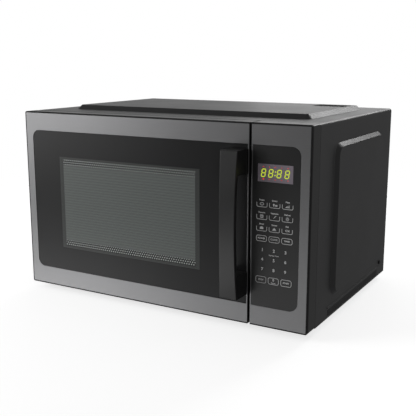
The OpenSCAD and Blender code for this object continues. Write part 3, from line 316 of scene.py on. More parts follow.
def cover_enamel():
    """Satin black powder coat. The vent field is painted near black, as painted shade for the slots, and is
    duller than the rest.
    """
    f = Finish("dark_enamel")
    x, y, z = f.axes()
    slow = f.noise(0.06, 3.0)
    fine = f.noise(0.0011, 2.0)
    field = inside(x, VENT_LOW[0], VENT_HIGH[0]) * inside(y, VENT_LOW[1], VENT_HIGH[1])
    vent_shade = field * (z > VENT_LOW[2])
    tint = f.mix(slow * 0.7 + fine * 0.3, tone(35, 35, 36), tone(40, 40, 41))
    # Painted shade: points in the vent field are painted near black, for the shade in the slots.
    tint = f.mix(vent_shade, tint, tone(12))
    shine = 0.42 + (slow - 0.5) * 0.1 + (fine - 0.5) * 0.08 + vent_shade * 0.5
    return f.done(Base_Color=tint, Roughness=shine, Specular_IOR_Level=0.9, Normal=f.bump(fine, 0.000014))


print("vent field", [round(1000 * (b - a)) for a, b in zip(VENT_LOW, VENT_HIGH)], "mm")

# %% Plain finishes
EVEN = (1, 1, 1)
finishes = {
    "dark_enamel": cover_enamel(),
    "zinc_sheet": spangled("zinc_sheet", tone(176, 178, 180), 0.34),
    "cavity_enamel": coated("cavity_enamel", tone(214, 215, 216), 0.36, 0.0016, 0.00001, 0.06),
    "black_rubber": coated("black_rubber", tone(34), 0.75, 0.0008, 0.00004, 0.2),
    "screw_steel": brushed("screw_steel", tone(92, 92, 94), 0.34, EVEN, 0.0006),
    "silver_plastic": faced_plastic(),
    "dark_plastic": coated("dark_plastic", tone(38), 0.5, 0.0007, 0.00002),
    "gloss_black_plastic": coated("gloss_black_plastic", tone(40), 0.34, 0.0009, 0.000006),
    "natural_plastic": coated("natural_plastic", tone(226, 222, 208), 0.45, 0.0012, 0.00001, 0.05),
    "spring_steel": brushed("spring_steel", tone(190), 0.25, EVEN, 0.0005),
    "relay_plastic": coated("relay_plastic", tone(30, 70, 150), 0.4, 0.0008, 0.00001),
    "copper_tube": brushed("copper_tube", tone(200, 128, 96), 0.3, (1, 1, 0.05), 0.0005),
    "ferrite": coated("ferrite", tone(46, 45, 47), 0.6, 0.0005, 0.00003, 0.2, 0.4),
    "aluminium_fin": brushed("aluminium_fin", tone(205, 206, 208), 0.28, (1, 0.03, 1)),
    "red_plastic": coated("red_plastic", tone(170, 30, 24), 0.4, 0.0008, 0.00001),
    "red_wire": coated("red_wire", tone(160, 26, 22), 0.38, 0.0012, 0.000012),
}
print(len(finishes), "coated, brushed and plated finishes")

# %% [markdown]
# ## Finishes with a pattern of their own
#
# Some parts are known by their structure: a transformer's core is a stack of thin steel leaves,
# its coils are wound wire, a circuit board has copper tracks under green lacquer,
# and mica is a pressed sheet of tiny flakes. Modelling each leaf and each turn of wire would cost
# many thousands of faces inside a closed cabinet. Here each structure is a sum on the point's x, y and z.

# %% Wound, stacked and printed finishes
TRACK_PITCH = 0.0013


def striped(name, low, high, axis, pitch, depth, rough, metal):
    """Ridges across one axis: a wave that rises and falls once for each pitch."""
    f = Finish(name)
    ridge = (f.axes()[axis] / (pitch / 2)).wave()
    grime = f.noise(0.004, 4.0)
    tint = f.mix(ridge * 0.75 + grime * 0.25, low, high)
    return f.done(Base_Color=tint, Roughness=rough + (grime - 0.5) * 0.2, Metallic=metal,
                  Normal=f.bump(ridge, depth))


def circuit_board():
    """Green lacquer over copper tracks, with bright solder at the ends of some of them."""
    f = Finish("circuit_board")
    x, y, z = f.axes()
    lane = (z / TRACK_PITCH + f.cells(0.012, (1, 0, 0.4), "Distance") * 9).wave()
    track = (lane > 0.62) * (f.noise(0.01, 1.0) > 0.42)
    solder = f.cells(0.0035, (1, 0, 1), "Distance") < 0.09
    board = f.mix(track, tone(18, 70, 40), tone(44, 112, 62))
    tint = f.mix(solder, board, tone(196, 198, 200))
    return f.done(Base_Color=tint, Roughness=0.32 + solder * 0.1, Metallic=solder * 0.9,
                  Normal=f.bump(track, 0.00004))


def flaked(name, low, high):
    """Pressed mica: flat flakes of several sizes, each with its own tone."""
    f = Finish(name)
    flake = f.node("SeparateColor", None, {"Color": f.cells(0.0022)})
    tint = f.mix(flake, low, high)
    return f.done(Base_Color=tint, Roughness=0.35 + flake * 0.2, Normal=f.bump(flake, 0.00003))


# %% Patterned finishes
finishes.update({
    "laminated_steel": striped("laminated_steel", tone(84, 82, 80), tone(150, 148, 146), 1, 0.001,
                               0.00008, 0.42, 0.9),
    "copper_winding": striped("copper_winding", tone(120, 58, 30), tone(206, 118, 70), 2, 0.0016,
                              0.0003, 0.32, 0.85),
    "winding_tape": striped("winding_tape", tone(196, 158, 40), tone(226, 190, 70), 2, 0.009,
                            0.00006, 0.4, 0.0),
    "circuit_board": circuit_board(),
    "mica_sheet": flaked("mica_sheet", tone(150, 138, 112), tone(196, 186, 160)),
})
print(len(finishes), "finishes so far")

# %% [markdown]
# ## Clear and printed finishes
#
# The door's glass is clear float glass with black ink on its back. In the window's middle one sees
# a grey haze: a net of fine dots with faint stripes across it. Bands of bolder pale dots run
# above and below it, and a darker dotted edge goes all round. The dots could be cut as faces,
# but there are thousands of them. The finish only needs each point's distance from the nearest dot.

# %% The window's sizes
MESH_LEDGE = 0.005
EDGE_SIDE = 0.0075
BAND_START = 0.004
BAND_END = 0.0135
FINE_PITCH = 0.0022
BOLD_PITCH = 0.0042
mesh_low, mesh_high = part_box("screen_mesh")
window_low = mesh_low + Vector((MESH_LEDGE, 0, MESH_LEDGE))
window_high = mesh_high - Vector((MESH_LEDGE, 0, MESH_LEDGE))
print("window", [round(1000 * v, 1) for v in window_high - window_low], "mm")


# %% Window print
def dots(x, z, pitch, radius):
    """1 inside round dots in a staggered net. The second net is the first moved by half a cell."""
    tall = pitch * math.sqrt(3)
    nets = []
    for shift in (0.0, 0.5):
        across = ((x / pitch + shift).fraction() - 0.5) * pitch
        upward = ((z / tall + shift).fraction() - 0.5) * tall
        nets.append((across * across + upward * upward) < radius * radius)
    return nets[0] + nets[1]


def printed_glass():
    """Black ink behind clear glass. Edge, bands and middle are laid over it from the outside inwards."""
    f = Finish("black_glass")
    x, y, z = f.axes()
    across = inside(x, window_low.x + EDGE_SIDE, window_high.x - EDGE_SIDE)
    window = inside(x, window_low.x, window_high.x) * inside(z, window_low.z, window_high.z)
    bands = across * inside(z, window_low.z + BAND_START, window_high.z - BAND_START)
    middle = across * inside(z, window_low.z + BAND_END, window_high.z - BAND_END)
    fine = dots(x, z, FINE_PITCH, FINE_PITCH * 0.32)
    bold = dots(x, z, BOLD_PITCH, BOLD_PITCH * 0.26)
    stripe = ((z - window_low.z) / FINE_PITCH).wave()
    haze = f.noise(0.05, 2.0)
    smear = f.noise(0.03, 4.0, (1, 1, 0.5))
    ground = f.mix(haze, tone(14, 14, 15), tone(17, 17, 18))
    edge = f.mix(fine, tone(52, 54, 53), tone(84, 87, 85))
    row = f.mix(bold, tone(36, 38, 37), tone(196, 202, 198))
    centre = f.mix(fine * 0.7 + stripe * 0.3, tone(126, 132, 129), tone(76, 80, 78))
    ink = f.mix(window, ground, edge)
    ink = f.mix(bands, ink, row)
    ink = f.mix(middle, ink, centre)
    return f.done(Base_Color=ink, Roughness=0.3 + smear * 0.08, Specular_IOR_Level=0.27)


# %% Clear films and the tray's glass
def see_through(name, colour, rough, alpha):
    """A thin clear film or lens with a faint drift in its tone."""
    f = Finish(name)
    slow = f.noise(0.03, 3.0)
    tint = f.mix(slow, scaled(colour, 0.9), scaled(colour, 1.1))
    return f.done(Base_Color=tint, Roughness=rough + slow * 0.06, Alpha=alpha)


def tray_glass():
    """Pressed soda glass: slightly green, with the slow ripple that the mould leaves."""
    f = Finish("tray_glass")
    ripple = f.noise(0.012, 1.0)
    tint = f.mix(ripple, tone(206, 226, 216), tone(222, 238, 230))
    return f.done(Base_Color=tint, Roughness=0.05 + ripple * 0.05, Alpha=0.16 + ripple * 0.1,
                  Normal=f.bump(ripple, 0.0002))


# %% Clear and printed finishes
finishes.update({
    "black_glass": printed_glass(),
    "mesh_steel": coated("mesh_steel", tone(70), 0.5, 0.0006, 0.00001),
    "clear_film": see_through("clear_film", tone(200, 206, 204), 0.18, 0.25),
    "overlay_film": coated("overlay_film", tone(30), 0.34, 0.0006, 0.000004, 0.06),
    "circuit_film": see_through("circuit_film", tone(200, 190, 150), 0.3, 0.8),
    "display_filter": coated("display_filter", tone(156, 146, 156), 0.3, 0.0007, 0.000004, 0.12),
    "lamp_glass": see_through("lamp_glass", tone(240, 236, 220), 0.08, 0.35),
    "tray_glass": tray_glass(),
})
print(len(finishes), "finishes with the clear ones")

# %% [markdown]
# ## Rounded copies of the solid pieces
#
# A real edge is never perfectly sharp, and its small radius is what draws the bright line along it.
# The pieces could be modelled again by hand, but then their sizes could drift from the solid ones.
# The solid pieces come as loose triangles, so a copy is joined up and its flat faces are melted together.
# A Bevel modifier then rounds only the edges where the surface turns.

# %% Helpers for new pieces
def slot_of(node):
    """The name of the finish that the part list gives this piece."""
    for part in frame["record"]["subparts"]:
        if part["node"] == node:
            return part["material_slot"]
    raise KeyError(node)


def add_piece(name, mesh, body, slot):
    """Puts a finished mesh into the scene on its body, with its finish."""
    piece = bpy.data.objects.new(name, mesh)
    bpy.context.scene.collection.objects.link(piece)
    mesh.materials.clear()
    mesh.materials.append(finishes[slot])
    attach(piece, body)
    return piece


def body_of(node):
    """The body that this piece rides on."""
    for body, members in frame["record"]["behaviour"]["bodies"].items():
        if node in members:
            return body
    return "root"


print("the handle is made of", slot_of("handle"), "and rides on the", body_of("handle"))


# %% Rounding one piece
JOIN = 0.000002
FLAT = math.radians(0.4)
TURN = math.radians(28)
ROUND_STEPS = 2


def rounded_copy(name, node, radius):
    """A copy of a solid piece with its edges rounded to radius where its faces turn by more than TURN."""
    mesh = bpy.data.meshes.new(name)
    work = bmesh.new()
    work.from_mesh(frame["nodes"][node].data)
    bmesh.ops.remove_doubles(work, verts=work.verts, dist=JOIN)
    bmesh.ops.dissolve_limit(work, angle_limit=FLAT, verts=work.verts, edges=work.edges,
                             use_dissolve_boundaries=False)
    for face in work.faces:
        face.smooth = True
    for edge in work.edges:
        edge.smooth = edge.is_manifold and edge.calc_face_angle() < TURN
    work.to_mesh(mesh)
    work.free()
    piece = add_piece(name, mesh, body_of(node), slot_of(node))
    if radius:
        bevel = piece.modifiers.new("round", "BEVEL")
        bevel.width = radius
        bevel.segments = ROUND_STEPS
        bevel.limit_method = "ANGLE"
        bevel.angle_limit = TURN
        bevel.use_clamp_overlap = False
        bevel.harden_normals = True
    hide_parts(node)
    print(f"{name}: {len(mesh.polygons)} faces, edges rounded by {1000 * radius:.1f} mm")
    return piece


# %% Rounded copies
ROUNDED = {
    "cabinet_cover": ("cabinet_wrap", 0.0004),
    "door_surround": ("door_frame", 0.0006),
    "door_pane": ("door_glass", 0.0004),
    "door_handle": ("handle", 0.0011),
    "panel_surround": ("panel_bezel", 0.0006),
    "panel_film": ("panel_overlay", 0.0001),
    "display_window": ("display_lens", 0.0002),
    "rubber_feet": ("feet", 0.0006),
    "cover_screws": ("cabinet_screws", 0.0002),
    "cord_bush": ("cord_gland", 0.0004),
    "rear_wall": ("back_panel", 0.0003),
    "floor_plate": ("base_plate", 0.0003),
    "front_wall": ("front_plate", 0.0003),
    "cavity_liner": ("oven_cavity", 0.0005),
    "door_lining": ("choke_cover", 0.0004),
    "door_inner_film": ("inner_window", 0.0001),
    "door_steel": ("door_plate", 0.0003),
    "top_hinge": ("upper_hinge", 0.0003),
    "bottom_hinge": ("lower_hinge", 0.0003),
    "latch_arm": ("latch_lever", 0.0004),
    "turntable_plate": ("glass_tray", 0.0008),
    "turntable_ring": ("roller_ring", 0.0005),
    "turntable_driver": ("tray_coupler", 0.0005),
    "roller_wheel_1": ("roller_1", 0.0006),
    "roller_wheel_2": ("roller_2", 0.0006),
    "roller_wheel_3": ("roller_3", 0.0006),
    "guide_cover": ("mica_cover", 0.0001),
    "spring_coil": ("latch_spring", 0.0),
    "mains_wires": ("wiring", 0.0),
}
for name, (node, radius) in ROUNDED.items():
    rounded_copy(name, node, radius)

# %% [markdown]
# ## The perforated screen
#
# Behind the door's glass sits a steel sheet full of small holes. Light gets through them,
# but microwaves, which are about 120 mm long, do not. Cutting thousands of holes one by one would be slow.
# Instead the sheet is a lattice of square cells with an eight-sided hole in each,
# and the whole lattice is worked out as arrays. Neighbouring cells share their corner points.

# %% The sheet's points and faces
HOLE_PITCH = 0.0033
HOLE_RADIUS = 0.00115
RING = np.array([(-1, -1), (0, -1), (1, -1), (1, 0), (1, 1), (0, 1), (-1, 1), (-1, 0)])


def lattice_line(low, high, edge):
    """Half-cell steps centred between low + edge and high - edge, with the sheet's own edges at both ends."""
    count = int((high - low - 2 * edge) / HOLE_PITCH)
    start = (low + high - count * HOLE_PITCH) / 2
    return count, np.concatenate([[low], start + HOLE_PITCH / 2 * np.arange(2 * count + 1), [high]])


def perforated_sheet(low, high, edge):
    """Points and faces of a sheet in the XZ plane. Each cell's ring of eight points is joined to its hole."""
    across, xs = lattice_line(low.x, high.x, edge)
    upward, zs = lattice_line(low.z, high.z, edge)
    wide, tall = len(xs), len(zs)
    grid = np.stack(np.meshgrid(xs, zs, indexing="ij"), -1).reshape(-1, 2)
    i, j = np.meshgrid(np.arange(across) * 2 + 2, np.arange(upward) * 2 + 2, indexing="ij")
    centre = np.stack([i.ravel(), j.ravel()], -1)
    ring = centre[:, None, :] + RING
    ring = ring[..., 0] * tall + ring[..., 1]
    turn = RING / np.linalg.norm(RING, axis=1)[:, None]
    holes = (grid[centre[:, 0] * tall + centre[:, 1]][:, None, :] + HOLE_RADIUS * turn).reshape(-1, 2)
    hole = len(grid) + np.arange(len(holes)).reshape(-1, 8)
    after = np.roll(np.arange(8), -1)
    cells = np.stack([ring, ring[:, after], hole[:, after], hole], -1).reshape(-1, 4)
    a, b = np.meshgrid(np.arange(wide - 1), np.arange(tall - 1), indexing="ij")
    rim = (a == 0) | (a == wide - 2) | (b == 0) | (b == tall - 2)
    corner = (a * tall + b)[rim]
    border = np.stack([corner, corner + tall, corner + tall + 1, corner + 1], -1)
    flat = np.concatenate([grid, holes])
    front = np.concatenate([cells, border])
    count = len(flat)
    edge_loop = np.concatenate([
        np.arange(wide) * tall, (wide - 1) * tall + np.arange(1, tall),
        (np.arange(wide - 1) * tall + tall - 1)[::-1], np.arange(1, tall - 1)[::-1]])
    loop_after = np.roll(edge_loop, -1)
    sides = np.stack([edge_loop, edge_loop + count, loop_after + count, loop_after], -1)
    walls = np.stack([hole, hole[:, after], hole[:, after] + count, hole + count], -1).reshape(-1, 4)
    faces = np.concatenate([front, front[:, ::-1] + count, sides, walls])
    points = np.concatenate([
        np.insert(flat, 1, low.y, axis=1), np.insert(flat, 1, high.y, axis=1)])
    used, faces = np.unique(faces, return_inverse=True)
    return points[used], faces.reshape(-1, 4), across * upward


def new_mesh(name, points, faces):
    """A mesh from arrays of points and faces."""
    mesh = bpy.data.meshes.new(name)
    mesh.from_pydata(np.asarray(points).tolist(), [], [list(face) for face in faces])
    mesh.update()
    return mesh


# %% Perforated screen
points, faces, hole_count = perforated_sheet(mesh_low, mesh_high, MESH_LEDGE)
screen = add_piece("perforated_screen", new_mesh("perforated_screen", points, faces), "door", "mesh_steel")
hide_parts("screen_mesh")
print("perforated_screen:", hole_count, "holes,", len(faces), "faces")

# %% [markdown]
# ## Ink and light on the control panel
#
# The keys have no caps. They are drawn in pale ink on a black film, and a finger presses the film itself.
# The print could be a picture on the film, but outlines stay sharp from any distance.
# Every sign is a flat outline: a path is offset to both sides by half the pen's width.
# Numbers and plain words come from the built-in letters, turned into faces.
# All of them are gathered into one thin sheet of ink.

# %% Drawing in ink
MM = 0.001
INK_DEPTH = 0.04 * MM
CAPITAL = 0.7
BOLDER = 0.045


class Drawing:
    """Flat shapes in millimetres on a face that looks towards -Y."""

    def __init__(self):
        self.points, self.faces, self.count = [], [], 0

    def add(self, points, faces):
        """Takes in points and faces. The faces' numbers move on by the count of points so far."""
        self.points.append(np.asarray(points, float))
        self.faces += [[int(v) + self.count for v in face] for face in faces]
        self.count += len(points)

    def fill(self, outline):
        """A filled shape. The outline is turned to run anticlockwise, so that it faces the front."""
        x, z = np.asarray(outline, float).T
        area = np.sum(x * np.roll(z, -1) - np.roll(x, -1) * z)
        self.add(outline if area > 0 else outline[::-1], [range(len(outline))])

    def line(self, path, width, closed=False):
        """A path of constant width: each point moves out along the mean of its two sides' normals."""
        path = np.asarray(path, float)
        ahead = np.roll(path, -1, 0) - path
        if not closed:
            ahead[-1] = ahead[-2]
        behind = np.roll(ahead, 1, 0)
        if not closed:
            behind[0] = ahead[0]
        sides = [v / np.linalg.norm(v, axis=1)[:, None] for v in (ahead, behind)]
        out = np.stack([sides[0][:, 1] + sides[1][:, 1], -sides[0][:, 0] - sides[1][:, 0]], -1)
        out *= 2 / np.maximum(np.sum(out * out, 1), 0.8)[:, None]
        n = len(path)
        steps = np.arange(n if closed else n - 1)
        nxt = (steps + 1) % n
        self.add(np.concatenate([path + out * width / 2, path - out * width / 2]),
                 np.stack([steps, nxt, nxt + n, steps + n], -1))

    def words(self, text, x, z, height):
        """Letters from the built-in font, centred on x, z. Height is the height of a capital."""
        curve = bpy.data.curves.new("letters", "FONT")
        curve.body = text
        curve.size = height / CAPITAL
        curve.align_x = "CENTER"
        curve.align_y = "CENTER"
        curve.resolution_u = 3
        curve.offset = height * BOLDER
        made = bpy.data.objects.new("letters", curve)
        shape = bpy.data.meshes.new_from_object(made)
        flat = np.zeros(len(shape.vertices) * 3)
        shape.vertices.foreach_get("co", flat)
        flat = flat.reshape(-1, 3)[:, :2]
        self.add(flat + (x, z), [list(p.vertices) for p in shape.polygons])
        bpy.data.objects.remove(made)
        bpy.data.curves.remove(curve)
        bpy.data.meshes.remove(shape)

    def piece(self, name, finish, y, body):
        """Ends the drawing as a thin sheet whose back lies on the plane y."""
        flat = np.concatenate(self.points) * MM
        mesh = new_mesh(name, np.insert(flat, 1, y - INK_DEPTH, axis=1), self.faces)
        made = bpy.data.objects.new(name, mesh)
        bpy.context.scene.collection.objects.link(made)
        mesh.materials.append(finish)
        thick = made.modifiers.new("thickness", "SOLIDIFY")
        thick.thickness = INK_DEPTH
        thick.offset = -1
        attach(made, body)
        print(f"{name}: {self.count} points, {len(self.faces)} faces")
        return made


# %% Round outlines
CORNER_STEPS = 5


def rounded_box(x, z, wide, tall, radius):
    """The outline of a box centred on x, z, with a quarter circle at each corner."""
    arc = np.radians(np.linspace(0, 90, CORNER_STEPS))
    parts = []
    for turn, sx, sz in ((0, 1, 1), (90, -1, 1), (180, -1, -1), (270, 1, -1)):
        angle = arc + math.radians(turn)
        parts.append(np.stack([x + sx * (wide / 2 - radius) + radius * np.cos(angle),
                               z + sz * (tall / 2 - radius) + radius * np.sin(angle)], -1))
    return np.concatenate(parts)


def circle(x, z, radius, steps=16, start=0.0, sweep=360.0):
    """Points round part of a circle. Angles are in degrees from +X."""
    full = sweep >= 360
    angle = np.radians(start + np.linspace(0, sweep, steps, endpoint=not full))
    return np.stack([x + radius * np.cos(angle), z + radius * np.sin(angle)], -1)


print("a circle has", len(circle(0, 0, 1)), "points, and the ink is", INK_DEPTH / MM, "mm thick")

# %% [markdown]
# ## The keys
#
# Three columns, eight rows. The first three rows have a small word over an open box with a sign in it,
# the fourth and the last have a word in a closed box, and the numbers stand alone.
# Each row's place is its drop below the display's lower edge, so the print follows the display.
# A sign is about 6 mm wide and only a few strokes, drawn by a short function of its own.

# %% Key signs
PEN = 0.7


def potato(ink, x, z):
    ink.line(circle(0, 0, 1, 18) * (2.8, 1.9) + (x, z), PEN, True)
    ink.fill(circle(x - 0.8, z + 0.3, 0.35, 8))
    ink.fill(circle(x + 0.9, z - 0.3, 0.35, 8))


def glass_and_cup(ink, x, z):
    ink.fill([(x - 2.6, z + 1.6), (x - 2.1, z - 2), (x - 0.5, z - 2), (x, z + 1.6)])
    ink.fill(rounded_box(x + 2, z - 0.8, 2.4, 2.4, 0.5))
    ink.line(circle(x + 3.3, z - 0.7, 0.8, 8, -90, 180), PEN)


def three_slices(ink, x, z):
    """Three triangles, each 2 mm further on and 1.2 mm taller than the one before."""
    for step in range(3):
        left, foot = x - 3 + 2 * step, z - 1.8
        ink.line([(left, foot), (left + 1.4, foot + 1.2 * (step + 1)), (left + 1.8, foot)], PEN, True)


def striped_bag(ink, x, z):
    ink.line([(x - 1.9, z - 2), (x - 2.3, z + 1.2), (x + 2.3, z + 1.2), (x + 1.9, z - 2)], PEN, True)
    for step in (-0.8, 0.8):
        ink.line([(x + step, z - 2), (x + step * 1.2, z + 1.2)], PEN)
    for step in (-1.5, 0, 1.5):
        ink.fill(circle(x + step, z + 1.9, 0.7, 8))


def carrot(ink, x, z):
    ink.fill([(x - 2.2, z - 2), (x + 0.6, z + 1.5), (x + 1.6, z + 0.4)])
    for lean in (0.4, 1.3, 2.2):
        ink.line([(x + 1, z + 1), (x + lean + 0.6, z + 2.4)], PEN)


def sun(ink, x, z):
    """A ring with eight rays, each from 2.1 to 2.9 mm out."""
    ink.line(circle(x, z, 1.3, 14), PEN, True)
    for inner, outer in zip(circle(x, z, 2.1, 8), circle(x, z, 2.9, 8)):
        ink.line([inner, outer], PEN)


def loaf(ink, x, z):
    dome = circle(x, z - 0.6, 2.8, 12, 0, 180)
    ink.fill(np.concatenate([dome, [(x - 2.8, z - 1.8), (x + 2.8, z - 1.8)]]))


def covered_dish(ink, x, z):
    ink.fill(circle(x, z - 1, 2.3, 12, 0, 180))
    ink.line([(x - 3.2, z - 1.7), (x + 3.2, z - 1.7)], PEN)
    ink.fill(circle(x, z + 1.7, 0.45, 8))


def fish(ink, x, z):
    ink.line(circle(0, 0, 1, 16) * (2.2, 1.2) + (x - 0.4, z), PEN, True)
    ink.line([(x + 1.8, z), (x + 3.1, z + 1.2), (x + 3.1, z - 1.2)], PEN, True)
    ink.fill(circle(x - 1.5, z + 0.2, 0.3, 6))


SIGN_KEYS = [
    ("Potato", potato), ("Drinks", glass_and_cup), ("Pizza", three_slices),
    ("Popcorn", striped_bag), ("Vegetable", carrot), ("Defrost", sun),
    ("Bread", loaf), ("Reheat", covered_dish), ("Fish", fish),
]
print(len(SIGN_KEYS), "signs")

# %% Key print
KEY_PITCH = 19.6
KEY_WIDTH = 16.0
NUMBER_PITCH = 17.9
SIGN_DROPS = (35.8, 53.7, 70.4)
SIGN_BOX = 6.4
SIGN_CORNER = 2.2
SIGN_RISE = 4.3
LABEL_RISE = 9.9
LABEL_TALL = 2.1
WORD_ROWS = ((81.3, 8.2, ("POWER", "CLOCK", "TIMER")), (142.2, 9.4, ("STOP", "", "START")))
WORD_CORNER = 2.6
WORD_TALL = 2.3
NUMBER_DROPS = (98.0, 111.9, 126.4)
NUMBER_TALL = 4.4
LOOSE_WORDS = (("0", 140.7, 3.6), ("Express", 144.8, 1.5), ("Express Cook", 104.6, 1.9))

lens_low, lens_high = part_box("display_lens")
film_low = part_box("panel_overlay")[0]
key_x = (lens_low.x + lens_high.x) / 2 / MM
rows_from = lens_low.z / MM
columns = [key_x - KEY_PITCH, key_x, key_x + KEY_PITCH]


def open_box(ink, x, foot):
    """Three sides of a box whose corners at the foot are round."""
    half = KEY_WIDTH / 2
    inner = half - SIGN_CORNER
    path = np.concatenate([
        [(x - half, foot + SIGN_BOX)],
        circle(x - inner, foot + SIGN_CORNER, SIGN_CORNER, 6, 180, 90),
        circle(x + inner, foot + SIGN_CORNER, SIGN_CORNER, 6, 270, 90),
        [(x + half, foot + SIGN_BOX)]])
    ink.line(path, PEN)


ink = Drawing()
for number, (label, sign) in enumerate(SIGN_KEYS):
    x = columns[number % 3]
    foot = rows_from - SIGN_DROPS[number // 3]
    open_box(ink, x, foot)
    ink.words(label, x, foot + LABEL_RISE, LABEL_TALL)
    sign(ink, x, foot + SIGN_RISE)
for drop, tall, words in WORD_ROWS:
    for x, word in zip(columns, words):
        ink.line(rounded_box(x, rows_from - drop, KEY_WIDTH, tall, WORD_CORNER), PEN, True)
        if word:
            ink.words(word, x, rows_from - drop, WORD_TALL)
for number in range(9):
    x = key_x + (number % 3 - 1) * NUMBER_PITCH
    ink.words(str(number + 1), x, rows_from - NUMBER_DROPS[number // 3], NUMBER_TALL)
for text, drop, tall in LOOSE_WORDS:
    ink.words(text, key_x, rows_from - drop, tall)
finishes["pale_ink"] = coated("pale_ink", tone(240), 0.5, 0.0004, 0.000002, 0.06)
ink.piece("key_print", finishes["pale_ink"], film_low.y, "root")

# %% [markdown]
# ## The display
#
# Four leaning digits of seven bars each, two dots between them, and small red signs above and below.
# A real display has lit bars behind a dark lens. A lit picture would do from afar,
# but drawn bars are sharper and take only a few faces. A bar is a hexagon: a short line
# with pointed ends. The bars give light of their own and lie on the lens.

# %% Lit digits
LEAN = 0.16
DIGIT_PLACES = (8.8, 20.0, 32.6, 44.6)
DIGIT_WIDE = 5.6
DIGIT_TALL = 10.6
BAR = 1.35
BAR_GAP = 0.2
COLON_PLACE = 26.6
COLON_RISE = 2.5
COLON_RADIUS = 1.05
lens_x = lens_low.x / MM
lens_z = (lens_low.z + lens_high.z) / 2 / MM


def bar(drawing, x, z, length, upright):
    """A hexagon round x, z. Upright bars lean with the digit."""
    half, cut = length / 2 - BAR_GAP, BAR / 2
    shape = np.array([(-half, 0), (-half + cut, -cut), (half - cut, -cut), (half, 0),
                      (half - cut, cut), (-half + cut, cut)])
    if upright:
        shape = shape[:, ::-1] * (-1, 1)
    shape = shape + (x, z)
    shape[:, 0] += LEAN * (shape[:, 1] - lens_z)
    drawing.fill(shape.tolist())


def glowing(name, colour):
    """A lit surface: its own light drifts a little from one place to the next."""
    f = Finish(name)
    drift = f.noise(0.002, 2.0)
    light = f.mix(drift, scaled(colour, 0.88), colour)
    return f.done(Base_Color=f.mix(drift, tone(30), tone(36)), Roughness=0.4,
                  Emission_Color=light, Emission_Strength=1.0)


digits = Drawing()
for place in DIGIT_PLACES:
    x = lens_x + place
    for level in (-1, 0, 1):
        bar(digits, x, lens_z + level * DIGIT_TALL / 2, DIGIT_WIDE, False)
    for side in (-1, 1):
        for level in (-1, 1):
            bar(digits, x + side * DIGIT_WIDE / 2, lens_z + level * DIGIT_TALL / 4, DIGIT_TALL / 2, True)
for level in (-1, 1):
    rise = level * COLON_RISE
    digits.fill(circle(lens_x + COLON_PLACE + LEAN * rise, lens_z + rise, COLON_RADIUS, 8))
digits.piece("display_digits", glowing("digit_light", tone(205, 222, 44)), lens_low.y, "root")

# %% Small red signs
SIGN_PLACES = (8.6, 17.8, 26.6, 36.3, 45.8)
SIGN_LINE = 8.6
DASH = 0.8
DOT_RADII = (1.3, 0.8)

signs = Drawing()
for number, place in enumerate(SIGN_PLACES):
    x, high, low = lens_x + place, lens_z + SIGN_LINE, lens_z - SIGN_LINE
    if number % 2:
        signs.line([(x, high - 1), (x, high + 1)], PEN)
        signs.line([(x - 1.1, low), (x + 1.1, low)], DASH)
    else:
        signs.line([(x - 1.2, high - 0.5), (x, high + 0.5), (x + 1.2, high - 0.5)], PEN)
        signs.fill(circle(x, low, DOT_RADII[min(number, 1)], 10))
signs.piece("display_signs", glowing("sign_light", tone(214, 52, 48)), lens_low.y, "root")

# %% [markdown]
# ## Finishes on the solid pieces that stay
#
# The pieces inside the cabinet keep their solid shapes. They are seen through vents and gaps, if at all,
# so a rounded copy of each would add faces and show nothing more.
# Each takes the finish that the part list names.

# %% Paint the pieces that stay
replaced = {node for node, radius in ROUNDED.values()} | {"screen_mesh"}
for node, piece in frame["nodes"].items():
    if node not in replaced:
        piece.data.materials.clear()
        piece.data.materials.append(finishes[slot_of(node)])
print(len(frame["nodes"]) - len(replaced), "solid pieces painted")

# %% [markdown]
# ## Floor
#
# A plain pale floor, as in a small studio. A real studio's paper curves up behind the object.
# Here the floor fades into the white backdrop, which leaves no line where it ends
# and keeps the oven's soft shadow.

# %% Floor
FLOOR_FULL = 0.5
FLOOR_END = 1.3
FLOOR_GLOW = 0.72
FLOOR_GAP = 0.0002


def floor_finish():
    """Matt white paper that fades into the white backdrop between two distances from the oven."""
    f = Finish("studio_floor")
    x, y, z = f.axes()
    tooth = f.noise(0.004, 3.0)
    left = (FLOOR_END ** 2 - (x * x + y * y)) / (FLOOR_END ** 2 - FLOOR_FULL ** 2)
    fade = f.node("Clamp", None, {"Value": left})
    return f.done(Base_Color=f.mix(tooth, tone(248), tone(252)), Roughness=0.9, Alpha=fade,
                  Emission_Color=(1, 1, 1, 1), Emission_Strength=FLOOR_GLOW)


floor_mesh = bpy.data.meshes.new("studio_floor")
corners = np.array([(-1, -1, 0), (1, -1, 0), (1, 1, 0), (-1, 1, 0)]) * FLOOR_END
floor_mesh.from_pydata((corners - (0, 0, FLOOR_GAP)).tolist(), [], [(0, 1, 2, 3)])
floor_mesh.materials.append(floor_finish())
floor = bpy.data.objects.new("studio_floor", floor_mesh)
bpy.context.scene.collection.objects.link(floor)
floor.visible_glossy = False
floor.visible_diffuse = False
print("the floor reaches", FLOOR_END, "m from the oven's middle")

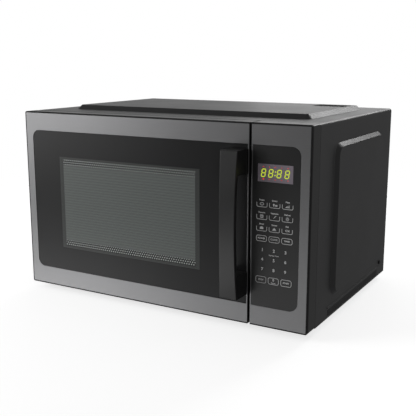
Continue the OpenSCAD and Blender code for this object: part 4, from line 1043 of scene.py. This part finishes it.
# %% [markdown]
# ## Lamps
#
# Dark glass and black enamel show little of their own colour. What one sees on them is the lamps.
# One big lamp would light everything evenly, so several soft ones stand round the oven instead:
# those at the front left light the silver film, and those behind light the top and the side.
# Two stand below the floor's level. The floor is left out of reflections, so they show up in the film.
# Each lamp has a place, a width and height, and a power in watts, and looks at the oven's middle.

# %% Lamps
LAMPS = {
    "left_window": ((-1.7, -1.5, 0.7), (1.2, 1.6), 19),
    "left_glow": ((-1.5, -1.3, -0.8), (1.2, 0.8), 10),
    "front_glow": ((-0.5, -2.0, -0.8), (1.2, 0.8), 3),
    "back_left": ((-1.7, 2.2, 0.9), (1.2, 1.4), 2.5),
    "back_middle": ((-0.5, 2.4, 0.9), (1.2, 1.4), 6),
    "high_back": ((0.5, 2.3, 1.5), (0.8, 0.8), 11),
    "right_back": ((2.2, 1.2, 0.3), (1.2, 1.2), 2),
}
TARGET = Vector((0, 0, 0.15))
for name, (spot, size, power) in LAMPS.items():
    data = bpy.data.lights.new(name, "AREA")
    data.shape = "RECTANGLE"
    data.size, data.size_y = size
    data.energy = power
    lamp = bpy.data.objects.new(name, data)
    lamp.location = spot
    lamp.rotation_mode = "QUATERNION"
    lamp.rotation_quaternion = (TARGET - Vector(spot)).to_track_quat("-Z", "Y")
    lamp.visible_camera = False
    bpy.context.scene.collection.objects.link(lamp)
print(len(LAMPS), "lamps")

# %% [markdown]
# ## Sky
#
# The sky is white behind the oven, but as a source of light it is dim, so that black glass stays black.
# A white wall would be lit by the lamps and shade off towards its corners.
# The sky asks what kind of ray has reached it instead, and answers the camera's rays at full strength.

# %% Sky
SKY_SEEN = 1.0
SKY_LIGHT = 0.17
sky = bpy.data.worlds.new("sky")
sky.use_nodes = True
bpy.context.scene.world = sky
nodes, links = sky.node_tree.nodes, sky.node_tree.links
backdrop = nodes["Background"]
backdrop.inputs["Color"].default_value = (1, 1, 1, 1)
ray = nodes.new("ShaderNodeLightPath")
level = nodes.new("ShaderNodeMapRange")
level.inputs["To Min"].default_value = SKY_LIGHT
level.inputs["To Max"].default_value = SKY_SEEN
links.new(ray.outputs["Is Camera Ray"], level.inputs["Value"])
links.new(level.outputs["Result"], backdrop.inputs["Strength"])
bpy.context.scene.view_settings.view_transform = "Standard"
print("the sky gives", SKY_LIGHT, "of its full light")
